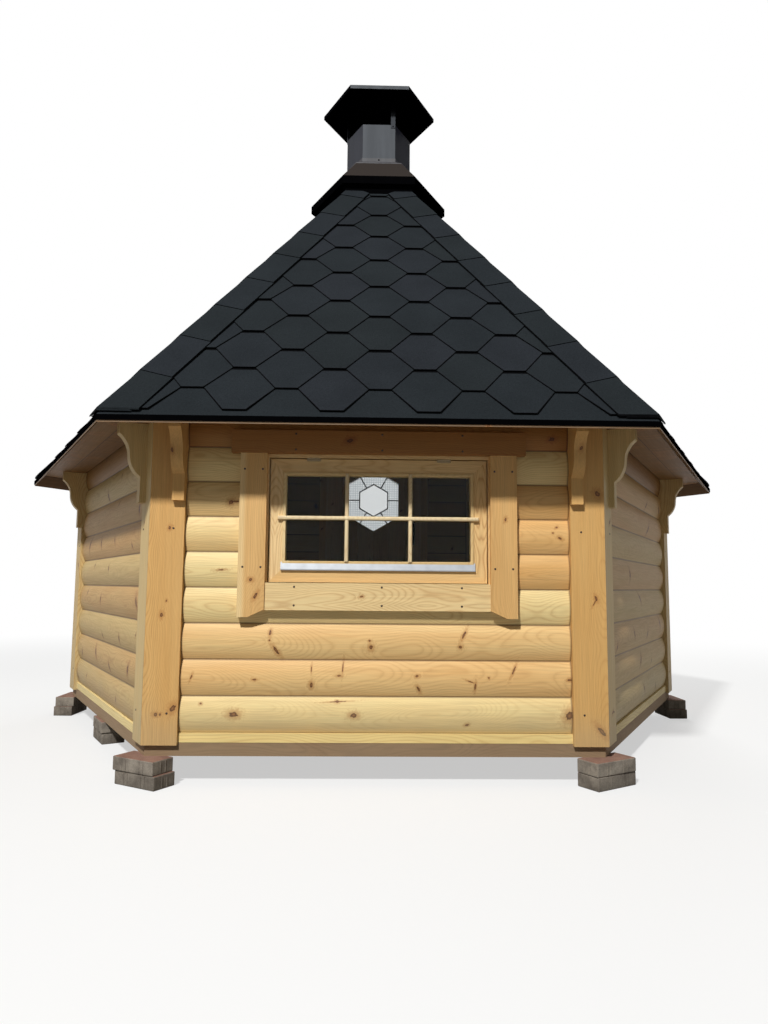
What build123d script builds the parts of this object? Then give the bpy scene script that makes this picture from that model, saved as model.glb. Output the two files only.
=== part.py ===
from build123d import *
import math
import os

# Sizes are in millimetres. The hut is a regular hexagon with one flat side to the front.
# X runs along the front wall, Y runs from the front to the back and Z is up.
# The origin is on the ground, under the middle of the hut.

# Plan
SIDE_NAMES = ("front", "front_right", "back_right", "back", "back_left", "front_left")
BACK = SIDE_NAMES.index("back")
TURN = 360.0 / len(SIDE_NAMES)
HALF_TURN = math.radians(TURN / 2)
POST_CORNER = 1710.0        # centre to the outer edge of a corner post
POST_WIDTH = 130.0          # width of each face of a corner post
POST_LAP = 8.0              # the post's face laps down over the base beam
LOG_SETBACK = 11.0          # the logs' crowns lie behind the post faces
LOG_THICKNESS = 45.0
LOG_VALLEY = 16.0           # depth of the groove between two logs
LOG_PITCH = 132.65          # cover height of one log
SOLE_HEIGHT = 33.0          # square strip under the first log
SOLE_SETBACK = 5.0          # the strip lies behind the logs' crowns
BEAM_SETBACK = 17.0         # the base beam lies behind the post faces
BEAM_WIDTH = 70.0
BEAM_HEIGHT = 48.6
MITRE_GAP = 0.4             # hairline joint between two lengths that meet at a corner
BUTT_GAP = 0.3              # hairline joint between two boards that meet square

# Piers of stacked concrete pavers
PAVER_LENGTH = 200.0
PAVER_WIDTH = 100.0
PAVER_HEIGHT = 50.0
PAVER_COURSES = 2
CORNER_PIER_OUTSET = 4.0    # from the beam's outer corner out to the pier's middle
SIDE_PIER_INSET = 35.0      # from the beam's face to the middle pier's middle

# Floor
JOIST_WIDTH = 45.0
JOIST_ROWS = 5
JOIST_SPACING = 525.0
FLOOR_THICKNESS = 20.0

# Roof
EAVE_OVERHANG = 264.0       # from the post's outer edge to the eave's corner
EAVE_DROP = 33.0            # from the soffit's underside down to the eave's top edge
ROOF_PITCH = 49.17          # degrees
ROOF_BOARD = 16.0
SHINGLE = 4.0               # room for the shingles over the boards
DRIP_HEIGHT = 20.0
DRIP_THICKNESS = 3.0
SOFFIT_GAP = 37.7           # from the window's head board up to the soffit's underside
SOFFIT_THICKNESS = 18.0

# Brackets under the eaves
BRACKET_WIDTH = 45.0
BRACKET_REACH = 105.0
BRACKET_HEIGHT = 307.0
BRACKET_NOSE = 45.0
BRACKET_FOOT = 22.0         # how far the foot stands out
BRACKET_FOOT_HEIGHT = 99.0

# Crown and chimney; each face is a distance from the centre to a flat side
UPSTAND_FACE = 325.0
UPSTAND_THICKNESS = 20.0
HOOD_FACE = 350.0
HOOD_GAP = 80.0             # from the roof's surface up to the hood's rim
HOOD_RIM = 45.0
HOOD_TOP_FACE = 225.0
HOOD_RISE = 152.0
SHEET = 3.0                 # sheet metal
FLASHING_RISE = 43.0
FLASHING_COLLAR = 22.0
TUBE_FACE = 165.5
TUBE_HEIGHT = 276.0
CAP_FACE = 292.0
CAP_GAP = 135.0             # from the tube's end up to the cap's lip
CAP_LIP = 21.0
CAP_RISE = 62.0
STRAP_WIDTH = 26.0
STRAP_LAP = 20.0            # the strap's fixed end on the tube
STRAP_SIDES = (0, 2, 4)     # every other side carries a strap

# Window in the front wall
SILL_LOGS = 4               # logs under the window
WINDOW_LOGS = 4             # logs beside the window
FRAME_SILL = 17.0
FRAME_HEAD = 38.6
FRAME_JAMB = 50.0
SASH_HALF = 411.0
SASH_THICKNESS = 35.0
SASH_STILE = 61.0
SASH_TOP_RAIL = 62.0
SASH_BOTTOM_RAIL = 80.0
SASH_CLEARANCE = 4.0
WINDOW_GLASS = 4.0
CASING_REVEAL = 9.0         # from the sash's edge to the inner edge of a side casing
CASING_WIDTH = 100.0
CASING_THICKNESS = 26.0
CASING_RISE = 15.8          # from the sash's top to the casing's top
CASING_DROP = 26.0          # the casing runs down past the apron
CASING_SLOPE = 28.0         # height of the sloping cut at the inner corner
CASING_FLAT = 40.0          # width of the level part of the cut
APRON_GAP = 2.2             # from the sash down to the apron
APRON_HEIGHT = 101.0
APRON_THICKNESS = 20.0
HEAD_HEIGHT = 86.0
HEAD_OVERHANG = 34.0        # the head board runs past the side casings
HEAD_THICKNESS = 34.0
DRIP_RAIL_OVERHANG = 16.0   # past each edge of the glass
DRIP_RAIL_HEIGHT = 31.0
DRIP_RAIL_REACH = 9.0
DRIP_RAIL_DROP = 4.0        # from the glass's lower edge to the rail's top
DRIP_RAIL_EDGE = 4.0
HINGE_OFFSET = 248.0
HINGE_LENGTH = 52.0
HINGE_HEIGHT = 10.0
HINGE_THICKNESS = 3.0
HINGE_BARREL = 4.5

# Door in the back wall
LEAF_HALF = 370.0
LEAF_HEIGHT = 1545.0
LEAF_THICKNESS = 45.0
LEAF_PROUD = 8.0            # the leaf's face stands in front of the logs' crowns
LEAF_CLEARANCE = 5.0
JAMB_THICKNESS = 45.0
JAMB_INSIDE = 20.0          # the jamb stands past the wall's inside face
STOP_WIDTH = 15.0
THRESHOLD_HEIGHT = 30.0
THRESHOLD_OVERHANG = 12.0
DOOR_GLASS_FLAT = 402.0     # between the two upright sides of the six-sided pane
PANE_STRETCH = 40.0         # the upright sides are this much longer than in an even hexagon
DOOR_GLASS = 4.0
PANE_LIFT = 1204.0          # from the leaf's lower end to the pane's middle
BEAD_LAP = 8.0
BEAD_WIDTH = 34.0
BEAD_THICKNESS = 12.0
DOOR_CASING_REVEAL = 37.0
DOOR_CASING_WIDTH = 100.0
DOOR_CASING_THICKNESS = 22.0
PIN_RADIUS = 5.0
PIN_CLEARANCE = 0.3
KNUCKLE_RADIUS = 9.0
KNUCKLE_HEIGHT = 40.0
KNUCKLE_GAP = 0.5
PIN_STANDOFF = 10.0         # from the leaf's face to the hinge pin's axis
STRAP_END_GAP = 12.0        # from the moulding round the pane to a strap's end
PLATE_THICKNESS = 4.0
PLATE_WIDTH = 30.0
HINGE_END = 200.0           # from an end of the leaf to a hinge
HANDLE_INSET = 60.0
HANDLE_HEIGHT = 940.0       # handle's middle, from the leaf's lower end
HANDLE_LENGTH = 180.0
HANDLE_REACH = 45.0
HANDLE_RADIUS = 9.0
HANDLE_POST_RADIUS = 7.0

# Dormer over the door
DORMER_RISE = 60.0          # from the door head up to the dormer roof, at the door's face
DORMER_PITCH = 10.0         # degrees
DORMER_SETBACK = 9.0        # the dormer roof's front edge lies inside the eave's line
DORMER_BOARD = 20.0
DORMER_SIDE = 50.0          # overhang past a cheek
CHEEK_THICKNESS = 28.0


# Places that follow from the sizes above
def across(corner):
    """Centre to a flat side of a hexagon, from its centre to a corner."""
    return corner * math.cos(HALF_TURN)


def out_to_corner(face):
    """Centre to a corner of a hexagon, from its centre to a flat side."""
    return face / math.cos(HALF_TURN)


POST_FACE = across(POST_CORNER)
LOG_CROWN = POST_FACE - LOG_SETBACK
LOG_GROOVE = LOG_CROWN - LOG_VALLEY
WALL_INSIDE = LOG_CROWN - LOG_THICKNESS
SOLE_FACE = LOG_CROWN - SOLE_SETBACK
BEAM_FACE = POST_FACE - BEAM_SETBACK
BEAM_INSIDE = BEAM_FACE - BEAM_WIDTH
WALL_HALF = POST_FACE * math.tan(HALF_TURN) - POST_WIDTH

PIER_TOP = PAVER_HEIGHT * PAVER_COURSES
BEAM_TOP = PIER_TOP + BEAM_HEIGHT
FLOOR_TOP = BEAM_TOP + FLOOR_THICKNESS
SOLE_TOP = BEAM_TOP + SOLE_HEIGHT

OPENING_BOTTOM = SOLE_TOP + SILL_LOGS * LOG_PITCH
OPENING_TOP = OPENING_BOTTOM + WINDOW_LOGS * LOG_PITCH
OPENING_HALF = SASH_HALF + SASH_CLEARANCE + FRAME_JAMB
SASH_BOTTOM = OPENING_BOTTOM + FRAME_SILL + SASH_CLEARANCE
SASH_TOP = OPENING_TOP - FRAME_HEAD - SASH_CLEARANCE
SASH_FRONT = WALL_INSIDE + SASH_THICKNESS
GLASS_HALF = SASH_HALF - SASH_STILE
GLASS_BOTTOM = SASH_BOTTOM + SASH_BOTTOM_RAIL
GLASS_TOP = SASH_TOP - SASH_TOP_RAIL
CASING_HALF = SASH_HALF + CASING_REVEAL
CASING_TOP = SASH_TOP + CASING_RISE
APRON_TOP = SASH_BOTTOM - APRON_GAP
APRON_BOTTOM = APRON_TOP - APRON_HEIGHT
CASING_BOTTOM = APRON_BOTTOM - CASING_DROP
HEAD_HALF = CASING_HALF + CASING_WIDTH + HEAD_OVERHANG
HEAD_BOARD_BOTTOM = CASING_TOP + BUTT_GAP
HEAD_BOARD_TOP = HEAD_BOARD_BOTTOM + HEAD_HEIGHT
DRIP_RAIL_HALF = GLASS_HALF + DRIP_RAIL_OVERHANG

SOFFIT_BOTTOM = HEAD_BOARD_TOP + SOFFIT_GAP
SOFFIT_TOP = SOFFIT_BOTTOM + SOFFIT_THICKNESS
EAVE_FACE = across(POST_CORNER + EAVE_OVERHANG)
ROOF_EDGE = EAVE_FACE - DRIP_THICKNESS
EAVE_TOP = SOFFIT_BOTTOM - EAVE_DROP
SLOPE = math.tan(math.radians(ROOF_PITCH))
UPRIGHT = 1 / math.cos(math.radians(ROOF_PITCH))


def shingle_top(face):
    """Height of the roof's finished surface over a distance from the centre."""
    return EAVE_TOP + (EAVE_FACE - face) * SLOPE


def board_top(face):
    """Height of the roof boards' upper surface."""
    return shingle_top(face) - SHINGLE * UPRIGHT


def board_bottom(face):
    """Height of the roof boards' lower surface."""
    return shingle_top(face) - (SHINGLE + ROOF_BOARD) * UPRIGHT


def face_under_roof(height):
    """Distance from the centre at which the roof boards' lower surface has this height."""
    return EAVE_FACE - (height + (SHINGLE + ROOF_BOARD) * UPRIGHT - EAVE_TOP) / SLOPE


LOG_ROWS = math.ceil((board_bottom(WALL_INSIDE) - SOLE_TOP) / LOG_PITCH)
ROOF_TOP = board_top(0)

HOOD_BOTTOM = shingle_top(HOOD_FACE) + HOOD_GAP
HOOD_SHOULDER = HOOD_BOTTOM + HOOD_RIM
HOOD_TOP = HOOD_SHOULDER + HOOD_RISE
FLASHING_TOP = HOOD_TOP + FLASHING_RISE
TUBE_TOP = HOOD_TOP + TUBE_HEIGHT
CAP_BOTTOM = TUBE_TOP + CAP_GAP
CAP_SHOULDER = CAP_BOTTOM + CAP_LIP
CAP_TOP = CAP_SHOULDER + CAP_RISE

LEAF_FACE = LOG_CROWN + LEAF_PROUD
LEAF_INSIDE = LEAF_FACE - LEAF_THICKNESS
DOORWAY_HALF = LEAF_HALF + LEAF_CLEARANCE
FRAME_HALF = DOORWAY_HALF + JAMB_THICKNESS
THRESHOLD_TOP = BEAM_TOP + THRESHOLD_HEIGHT
LEAF_BOTTOM = THRESHOLD_TOP + LEAF_CLEARANCE
LEAF_TOP = LEAF_BOTTOM + LEAF_HEIGHT
HEAD_BOTTOM = LEAF_TOP + LEAF_CLEARANCE
HEAD_TOP = HEAD_BOTTOM + JAMB_THICKNESS
PIN_X = -(LEAF_HALF + LEAF_CLEARANCE / 2)
PIN_Y = LEAF_FACE + PIN_STANDOFF
PANE_HEIGHT = LEAF_BOTTOM + PANE_LIFT
PANE_CORNER = out_to_corner(DOOR_GLASS_FLAT / 2)
BEAD_CORNER = PANE_CORNER - BEAD_LAP + BEAD_WIDTH
STRAP_END = -(across(BEAD_CORNER) + STRAP_END_GAP)

DORMER_SLOPE = math.tan(math.radians(DORMER_PITCH))
DORMER_FRONT = EAVE_FACE - DORMER_SETBACK
DORMER_HALF = FRAME_HALF + CHEEK_THICKNESS + DORMER_SIDE


def dormer_bottom(face):
    """Height of the dormer roof's lower surface over a distance from the centre."""
    return HEAD_TOP + DORMER_RISE + (LEAF_FACE - face) * DORMER_SLOPE


def meets_main_roof(height_at_centre):
    """Distance from the centre where a line at the dormer's slope meets the main roof boards."""
    return (ROOF_TOP - height_at_centre) / (SLOPE - DORMER_SLOPE)


DORMER_MEET_BOTTOM = meets_main_roof(dormer_bottom(0))
DORMER_MEET_TOP = meets_main_roof(dormer_bottom(0) + DORMER_BOARD)


# Shapes used by several pieces
def block(x0, x1, y0, y1, z0, z1):
    """A square block between two corners."""
    middle = Pos((x0 + x1) / 2, (y0 + y1) / 2, (z0 + z1) / 2)
    return middle * Box(abs(x1 - x0), abs(y1 - y0), abs(z1 - z0))


def beam_along_x(outline, x0, x1):
    """A length along X, from an outline in (distance from the centre, height) on the front side."""
    face = make_face(outline)
    return extrude(Plane.YZ.offset(x0) * face, amount=x1 - x0, dir=(1, 0, 0))


def polygon_along_x(points, x0, x1):
    """A straight-sided length along X; a point is (distance from the centre, height)."""
    return beam_along_x(Polyline([(-face, height) for face, height in points], close=True), x0, x1)


def upright_prism(points, z0, z1):
    """A prism that stands on a flat outline in X and Y."""
    face = make_face(Polyline(points, close=True))
    return extrude(Pos(0, 0, z0) * face, amount=z1 - z0, dir=(0, 0, 1))


def turned(shape, side):
    """The front side's piece, turned to another side."""
    return Rot(0, 0, TURN * side) * shape


def sector(gap=MITRE_GAP):
    """The front sixth of the plan, less half a mitre gap on each edge."""
    reach = 2 * (POST_CORNER + EAVE_OVERHANG)
    tip = gap / 2 / math.sin(HALF_TURN)
    half = (reach - tip) * math.tan(HALF_TURN)
    return upright_prism([(0, -tip), (half, -reach), (-half, -reach)], 0, 2 * ROOF_TOP)


def hexagon_prism(face, z0, z1):
    """A six-sided prism with its flat sides facing the walls."""
    corner = out_to_corner(face)
    points = [
        (corner * math.cos(HALF_TURN * 2 * i), corner * math.sin(HALF_TURN * 2 * i))
        for i in range(len(SIDE_NAMES))
    ]
    return upright_prism(points, z0, z1)


def hexagon_shell(points):
    """One piece of sheet or board, folded round all six sides, from its upright section."""
    far = 2 * max(face for face, height in points)
    one = polygon_along_x(points, -far, far) & sector(0)
    return Part() + [turned(one, side) for side in range(len(SIDE_NAMES))]


def save(name, shapes):
    """Write one node; a list holds like pieces that don't touch."""
    solids = [solid for shape in shapes for solid in shape.solids()]
    export_step(solids[0] if len(solids) == 1 else Compound(solids), f"parts/{name}.step")


# Piers
def piers():
    corner = out_to_corner(BEAM_FACE) + CORNER_PIER_OUTSET
    pier = block(-PAVER_LENGTH / 2, PAVER_LENGTH / 2, -PAVER_WIDTH / 2, PAVER_WIDTH / 2, 0, PIER_TOP)
    stacks = [
        Rot(0, 0, TURN * (side - 1)) * Pos(corner, 0, 0) * Rot(0, 0, 90) * pier
        for side in range(len(SIDE_NAMES))
    ]
    middle = Pos(0, -(BEAM_FACE - SIDE_PIER_INSET), 0) * pier
    stacks.append(turned(middle, SIDE_NAMES.index("front_left")))
    return stacks


# Base frame and floor
def base_beams():
    beam = block(-BEAM_FACE, BEAM_FACE, -BEAM_FACE, -BEAM_INSIDE, PIER_TOP, BEAM_TOP) & sector()
    return [turned(beam, side) for side in range(len(SIDE_NAMES))]


def joists():
    inside = hexagon_prism(BEAM_INSIDE, PIER_TOP, BEAM_TOP)
    rows = []
    for row in range(JOIST_ROWS):
        y = (row - (JOIST_ROWS - 1) / 2) * JOIST_SPACING
        length = block(-POST_CORNER, POST_CORNER, y - JOIST_WIDTH / 2, y + JOIST_WIDTH / 2,
                       PIER_TOP, BEAM_TOP)
        rows.append(length & inside)
    return rows


def floor():
    return hexagon_prism(WALL_INSIDE, BEAM_TOP, FLOOR_TOP)


# Log walls
def log_wall(x0, x1, first, last):
    """Stacked logs from row first up to row last, rounded outside and flat inside."""
    low = SOLE_TOP + first * LOG_PITCH
    high = SOLE_TOP + last * LOG_PITCH
    rounds = [
        ThreePointArc(
            (-LOG_GROOVE, SOLE_TOP + row * LOG_PITCH),
            (-LOG_CROWN, SOLE_TOP + (row + 0.5) * LOG_PITCH),
            (-LOG_GROOVE, SOLE_TOP + (row + 1) * LOG_PITCH),
        )
        for row in range(first, last)
    ]
    inside = Polyline((-LOG_GROOVE, high), (-WALL_INSIDE, high), (-WALL_INSIDE, low), (-LOG_GROOVE, low))
    return beam_along_x([*rounds, *inside.edges()], x0, x1)


def under_roof(width):
    """Everything below the roof boards on the front side."""
    far = EAVE_FACE
    return polygon_along_x([(0, 0), (far, 0), (far, board_bottom(far)), (0, board_bottom(0))],
                           -width, width)


def full_wall():
    return log_wall(-WALL_HALF, WALL_HALF, 0, LOG_ROWS) & under_roof(POST_CORNER)


def front_wall_low():
    return log_wall(-WALL_HALF, WALL_HALF, 0, SILL_LOGS)


def front_wall_beside():
    last = SILL_LOGS + WINDOW_LOGS
    return [
        log_wall(-WALL_HALF, -OPENING_HALF, SILL_LOGS, last),
        log_wall(OPENING_HALF, WALL_HALF, SILL_LOGS, last),
    ]


def front_wall_high():
    first = SILL_LOGS + WINDOW_LOGS
    return log_wall(-WALL_HALF, WALL_HALF, first, LOG_ROWS) & under_roof(POST_CORNER)


def back_wall():
    """The lengths of log wall on both sides of the doorway."""
    right = log_wall(FRAME_HALF, WALL_HALF, 0, LOG_ROWS) & under_roof(POST_CORNER)
    left = log_wall(-WALL_HALF, -FRAME_HALF, 0, LOG_ROWS) & under_roof(POST_CORNER)
    return [turned(right, BACK), turned(left, BACK)]


def sole_strips():
    strips = []
    for side in range(len(SIDE_NAMES)):
        whole = block(-WALL_HALF, WALL_HALF, -SOLE_FACE, -WALL_INSIDE, BEAM_TOP, SOLE_TOP)
        if side == BACK:
            whole = whole - block(-FRAME_HALF, FRAME_HALF, -POST_FACE, 0, BEAM_TOP, SOLE_TOP)
        strips.append(turned(whole, side))
    return strips


# Corner posts
def post_outline(inner):
    """Plan of the post between the front side and its right neighbour, as a wide V."""
    corner = math.radians(-90) + HALF_TURN
    half = POST_FACE * math.tan(HALF_TURN)

    def mirrored(point):
        x, y = point
        c, s = math.cos(2 * corner), math.sin(2 * corner)
        return (x * c + y * s, x * s - y * c)

    outer_end = (half - POST_WIDTH, -POST_FACE)
    inner_end = (half - POST_WIDTH, -inner)
    inner_corner = (inner * math.tan(HALF_TURN), -inner)
    outer_corner = (half, -POST_FACE)
    return [inner_end, outer_end, outer_corner, mirrored(outer_end), mirrored(inner_end), inner_corner]


def corner_post():
    upright = upright_prism(post_outline(WALL_INSIDE), BEAM_TOP, board_bottom(WALL_INSIDE))
    lap = upright_prism(post_outline(BEAM_FACE), BEAM_TOP - POST_LAP, BEAM_TOP)
    below = under_roof(2 * POST_CORNER)
    return (upright & below & turned(below, 1)) + lap


def corner_posts():
    return [turned(corner_post(), side) for side in range(len(SIDE_NAMES))]


# Curved brackets that carry the soffit
def bracket(x0, x1):
    reach = POST_FACE + BRACKET_REACH
    foot = POST_FACE + BRACKET_FOOT
    nose_bottom = SOFFIT_BOTTOM - BRACKET_NOSE
    bottom = SOFFIT_BOTTOM - BRACKET_HEIGHT
    foot_top = bottom + BRACKET_FOOT_HEIGHT
    middle = (-(reach + foot) / 2, (nose_bottom + foot_top) / 2)
    hollow = TangentArc(middle, (-reach, nose_bottom), tangent=(0, 1))
    swell = TangentArc(middle, (-foot, foot_top), tangent=(0, -1))
    rest = Polyline((-foot, foot_top), (-foot, bottom), (-POST_FACE, bottom),
                    (-POST_FACE, SOFFIT_BOTTOM), (-reach, SOFFIT_BOTTOM), (-reach, nose_bottom))
    return beam_along_x([hollow, swell, *rest.edges()], x0, x1)


def brackets():
    pairs = [
        bracket(WALL_HALF, WALL_HALF + BRACKET_WIDTH),
        bracket(-WALL_HALF - BRACKET_WIDTH, -WALL_HALF),
    ]
    return [turned(one, side) for side in range(len(SIDE_NAMES)) for one in pairs]


# Roof
def door_notch():
    """Room that the door frame and dormer take out of the back eave, drawn on the front side."""
    return block(-FRAME_HALF, FRAME_HALF, -2 * EAVE_FACE, -DORMER_MEET_BOTTOM, SOLE_TOP, 2 * ROOF_TOP)


def roof_panel(side):
    section = [
        (ROOF_EDGE, board_bottom(ROOF_EDGE)),
        (ROOF_EDGE, board_top(ROOF_EDGE)),
        (UPSTAND_FACE, board_top(UPSTAND_FACE)),
        (UPSTAND_FACE, board_bottom(UPSTAND_FACE)),
    ]
    panel = polygon_along_x(section, -EAVE_FACE, EAVE_FACE) & sector()
    if side == BACK:
        panel = panel - door_notch()
    return turned(panel, side)


def soffit_boards():
    inner = face_under_roof(SOFFIT_BOTTOM)
    section = [
        (LOG_CROWN, SOFFIT_BOTTOM),
        (inner, SOFFIT_BOTTOM),
        (face_under_roof(SOFFIT_TOP), SOFFIT_TOP),
        (LOG_CROWN, SOFFIT_TOP),
    ]
    whole = polygon_along_x(section, -EAVE_FACE, EAVE_FACE) & sector()
    posts = upright_prism(post_outline(WALL_INSIDE), SOFFIT_BOTTOM, SOFFIT_TOP)
    whole = whole - posts - turned(posts, -1)
    end = polygon_along_x([(LOG_CROWN, SOFFIT_TOP), (face_under_roof(SOFFIT_TOP), SOFFIT_TOP),
                           (LOG_CROWN, board_bottom(LOG_CROWN))], 0, SOFFIT_THICKNESS)
    boards = []
    for side in range(len(SIDE_NAMES)):
        board = whole
        if side == BACK:
            board = whole - door_notch()
            board = board + Pos(FRAME_HALF, 0, 0) * end
            board = board + Pos(-FRAME_HALF - SOFFIT_THICKNESS, 0, 0) * end
        boards.append(turned(board, side))
    return boards


def drip_edges():
    edges = []
    for side in range(len(SIDE_NAMES)):
        edge = block(-EAVE_FACE, EAVE_FACE, -EAVE_FACE, -ROOF_EDGE, EAVE_TOP - DRIP_HEIGHT, EAVE_TOP)
        edge = edge & sector()
        if side == BACK:
            edge = edge - door_notch()
        edges.append(turned(edge, side))
    return edges


# Crown and chimney
def hood_line(face):
    """Height of the hood's upper surface over a distance from the centre."""
    return HOOD_SHOULDER + (HOOD_FACE - face) * HOOD_RISE / (HOOD_FACE - HOOD_TOP_FACE)


def upstand():
    inner = UPSTAND_FACE - UPSTAND_THICKNESS
    drop = SHEET * math.hypot(1, HOOD_RISE / (HOOD_FACE - HOOD_TOP_FACE))
    return hexagon_shell([
        (UPSTAND_FACE, board_bottom(UPSTAND_FACE)),
        (UPSTAND_FACE, hood_line(UPSTAND_FACE) - drop),
        (inner, hood_line(inner) - drop),
        (inner, board_bottom(UPSTAND_FACE)),
    ])


def hood():
    drop = SHEET * math.hypot(1, HOOD_RISE / (HOOD_FACE - HOOD_TOP_FACE))
    return hexagon_shell([
        (HOOD_FACE, HOOD_BOTTOM),
        (HOOD_FACE, HOOD_SHOULDER),
        (HOOD_TOP_FACE, HOOD_TOP),
        (HOOD_TOP_FACE, HOOD_TOP - drop),
        (HOOD_FACE - SHEET, hood_line(HOOD_FACE - SHEET) - drop),
        (HOOD_FACE - SHEET, HOOD_BOTTOM),
    ])


def flashing():
    collar = TUBE_FACE + SHEET
    return hexagon_shell([
        (HOOD_TOP_FACE, HOOD_TOP),
        (collar, FLASHING_TOP),
        (collar, FLASHING_TOP + FLASHING_COLLAR),
        (TUBE_FACE, FLASHING_TOP + FLASHING_COLLAR),
        (TUBE_FACE, FLASHING_TOP - SHEET),
        (HOOD_TOP_FACE - SHEET, HOOD_TOP),
    ])


def tube():
    inner = TUBE_FACE - SHEET
    return hexagon_shell([(TUBE_FACE, HOOD_TOP), (TUBE_FACE, TUBE_TOP), (inner, TUBE_TOP), (inner, HOOD_TOP)])


def cap_underside(face):
    """Height of the cap's inner surface over a distance from the centre."""
    rim = CAP_FACE - SHEET
    return CAP_SHOULDER - SHEET + (rim - face) * CAP_RISE / rim


def cap():
    return hexagon_shell([
        (CAP_FACE, CAP_BOTTOM),
        (CAP_FACE, CAP_SHOULDER),
        (0, CAP_TOP),
        (0, CAP_TOP - SHEET),
        (CAP_FACE - SHEET, CAP_SHOULDER - SHEET),
        (CAP_FACE - SHEET, CAP_BOTTOM),
    ])


def cap_straps():
    outer = TUBE_FACE + SHEET
    right = TUBE_FACE * math.tan(HALF_TURN)
    section = [
        (TUBE_FACE, TUBE_TOP - STRAP_LAP),
        (outer, TUBE_TOP - STRAP_LAP),
        (outer, cap_underside(outer)),
        (TUBE_FACE, cap_underside(TUBE_FACE)),
    ]
    strap = polygon_along_x(section, right - STRAP_WIDTH, right)
    return [turned(strap, side) for side in STRAP_SIDES]


# Window
def window_frame():
    gap = SASH_CLEARANCE
    front, back = -LOG_CROWN, -WALL_INSIDE
    sill = block(-OPENING_HALF, OPENING_HALF, front, back, OPENING_BOTTOM, SASH_BOTTOM - gap)
    head = block(-OPENING_HALF, OPENING_HALF, front, back, SASH_TOP + gap, OPENING_TOP)
    jambs = [
        block(side * (SASH_HALF + gap), side * OPENING_HALF, front, back,
              SASH_BOTTOM - gap + BUTT_GAP, SASH_TOP + gap - BUTT_GAP)
        for side in (-1, 1)
    ]
    return [sill, head, *jambs]


def window_sash():
    outer = block(-SASH_HALF, SASH_HALF, -SASH_FRONT, -WALL_INSIDE, SASH_BOTTOM, SASH_TOP)
    inner = block(-GLASS_HALF, GLASS_HALF, -SASH_FRONT, -WALL_INSIDE, GLASS_BOTTOM, GLASS_TOP)
    return outer - inner


def window_glass():
    middle = -(SASH_FRONT + WALL_INSIDE) / 2
    return block(-GLASS_HALF, GLASS_HALF, middle - WINDOW_GLASS / 2, middle + WINDOW_GLASS / 2,
                 GLASS_BOTTOM, GLASS_TOP)


def side_casing():
    """The casing right of the window, with the sloping cut at its lower inner corner."""
    outer = CASING_HALF + CASING_WIDTH
    low = CASING_BOTTOM
    outline = Polyline([
        (CASING_HALF, low + CASING_SLOPE),
        (outer - CASING_FLAT, low),
        (outer, low),
        (outer, CASING_TOP),
        (CASING_HALF, CASING_TOP),
    ], close=True)
    face = Plane.XZ.offset(LOG_CROWN) * make_face(outline)
    return extrude(face, amount=CASING_THICKNESS, dir=(0, -1, 0))


def window_casings():
    right = side_casing()
    left = mirror(right, about=Plane.YZ)
    head = block(-HEAD_HALF, HEAD_HALF, -(LOG_CROWN + HEAD_THICKNESS), -LOG_CROWN,
                 HEAD_BOARD_BOTTOM, HEAD_BOARD_TOP)
    half = CASING_HALF - BUTT_GAP
    apron = block(-half, half, -(LOG_CROWN + APRON_THICKNESS), -LOG_CROWN,
                  APRON_BOTTOM, APRON_TOP)
    return [left, right, head, apron]


def window_drip_rail():
    top = GLASS_BOTTOM - DRIP_RAIL_DROP
    bottom = top - DRIP_RAIL_HEIGHT
    return polygon_along_x([
        (SASH_FRONT, bottom),
        (SASH_FRONT + DRIP_RAIL_REACH, bottom),
        (SASH_FRONT + DRIP_RAIL_REACH, bottom + DRIP_RAIL_EDGE),
        (SASH_FRONT + DRIP_RAIL_EDGE, top),
        (SASH_FRONT, top),
    ], -DRIP_RAIL_HALF, DRIP_RAIL_HALF)


def window_hinges():
    height = SASH_TOP + SASH_CLEARANCE / 2
    half = HINGE_LENGTH / 2
    plate = block(-half, half, -(SASH_FRONT + HINGE_THICKNESS), -SASH_FRONT,
                  height - HINGE_HEIGHT, height)
    barrel = Pos(0, -(SASH_FRONT + HINGE_THICKNESS), height) * Rot(0, 90, 0) * Cylinder(
        HINGE_BARREL, HINGE_LENGTH)
    barrel = barrel - block(-half, half, -SASH_FRONT, 0, SASH_BOTTOM, OPENING_TOP)
    hinge = plate + (barrel - block(-half, half, -LOG_CROWN, 0, SASH_TOP + SASH_CLEARANCE, OPENING_TOP))
    return [Pos(side * HINGE_OFFSET, 0, 0) * hinge for side in (-1, 1)]


# Door frame
def jamb(side):
    """An upright of the door frame, with the stop that the leaf closes against."""
    inner, outer = side * DOORWAY_HALF, side * FRAME_HALF
    stop = side * (DOORWAY_HALF - STOP_WIDTH)
    back = WALL_INSIDE - JAMB_INSIDE
    behind = LEAF_INSIDE - LEAF_CLEARANCE
    top = HEAD_BOTTOM - BUTT_GAP
    upright = block(inner, outer, back, LEAF_FACE, THRESHOLD_TOP, top)
    return upright + block(stop, inner, back, behind, THRESHOLD_TOP, top)


def door_head():
    back = WALL_INSIDE - JAMB_INSIDE
    behind = LEAF_INSIDE - LEAF_CLEARANCE
    beam = block(-FRAME_HALF, FRAME_HALF, back, LEAF_FACE, HEAD_BOTTOM, HEAD_TOP)
    half = DOORWAY_HALF - STOP_WIDTH - BUTT_GAP
    return beam + block(-half, half, back, behind, HEAD_BOTTOM - STOP_WIDTH, HEAD_BOTTOM)


def door_frame():
    return [jamb(-1), jamb(1), door_head()]


def threshold():
    return block(-FRAME_HALF, FRAME_HALF, WALL_INSIDE, LEAF_FACE + THRESHOLD_OVERHANG,
                 BEAM_TOP, THRESHOLD_TOP)


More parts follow.
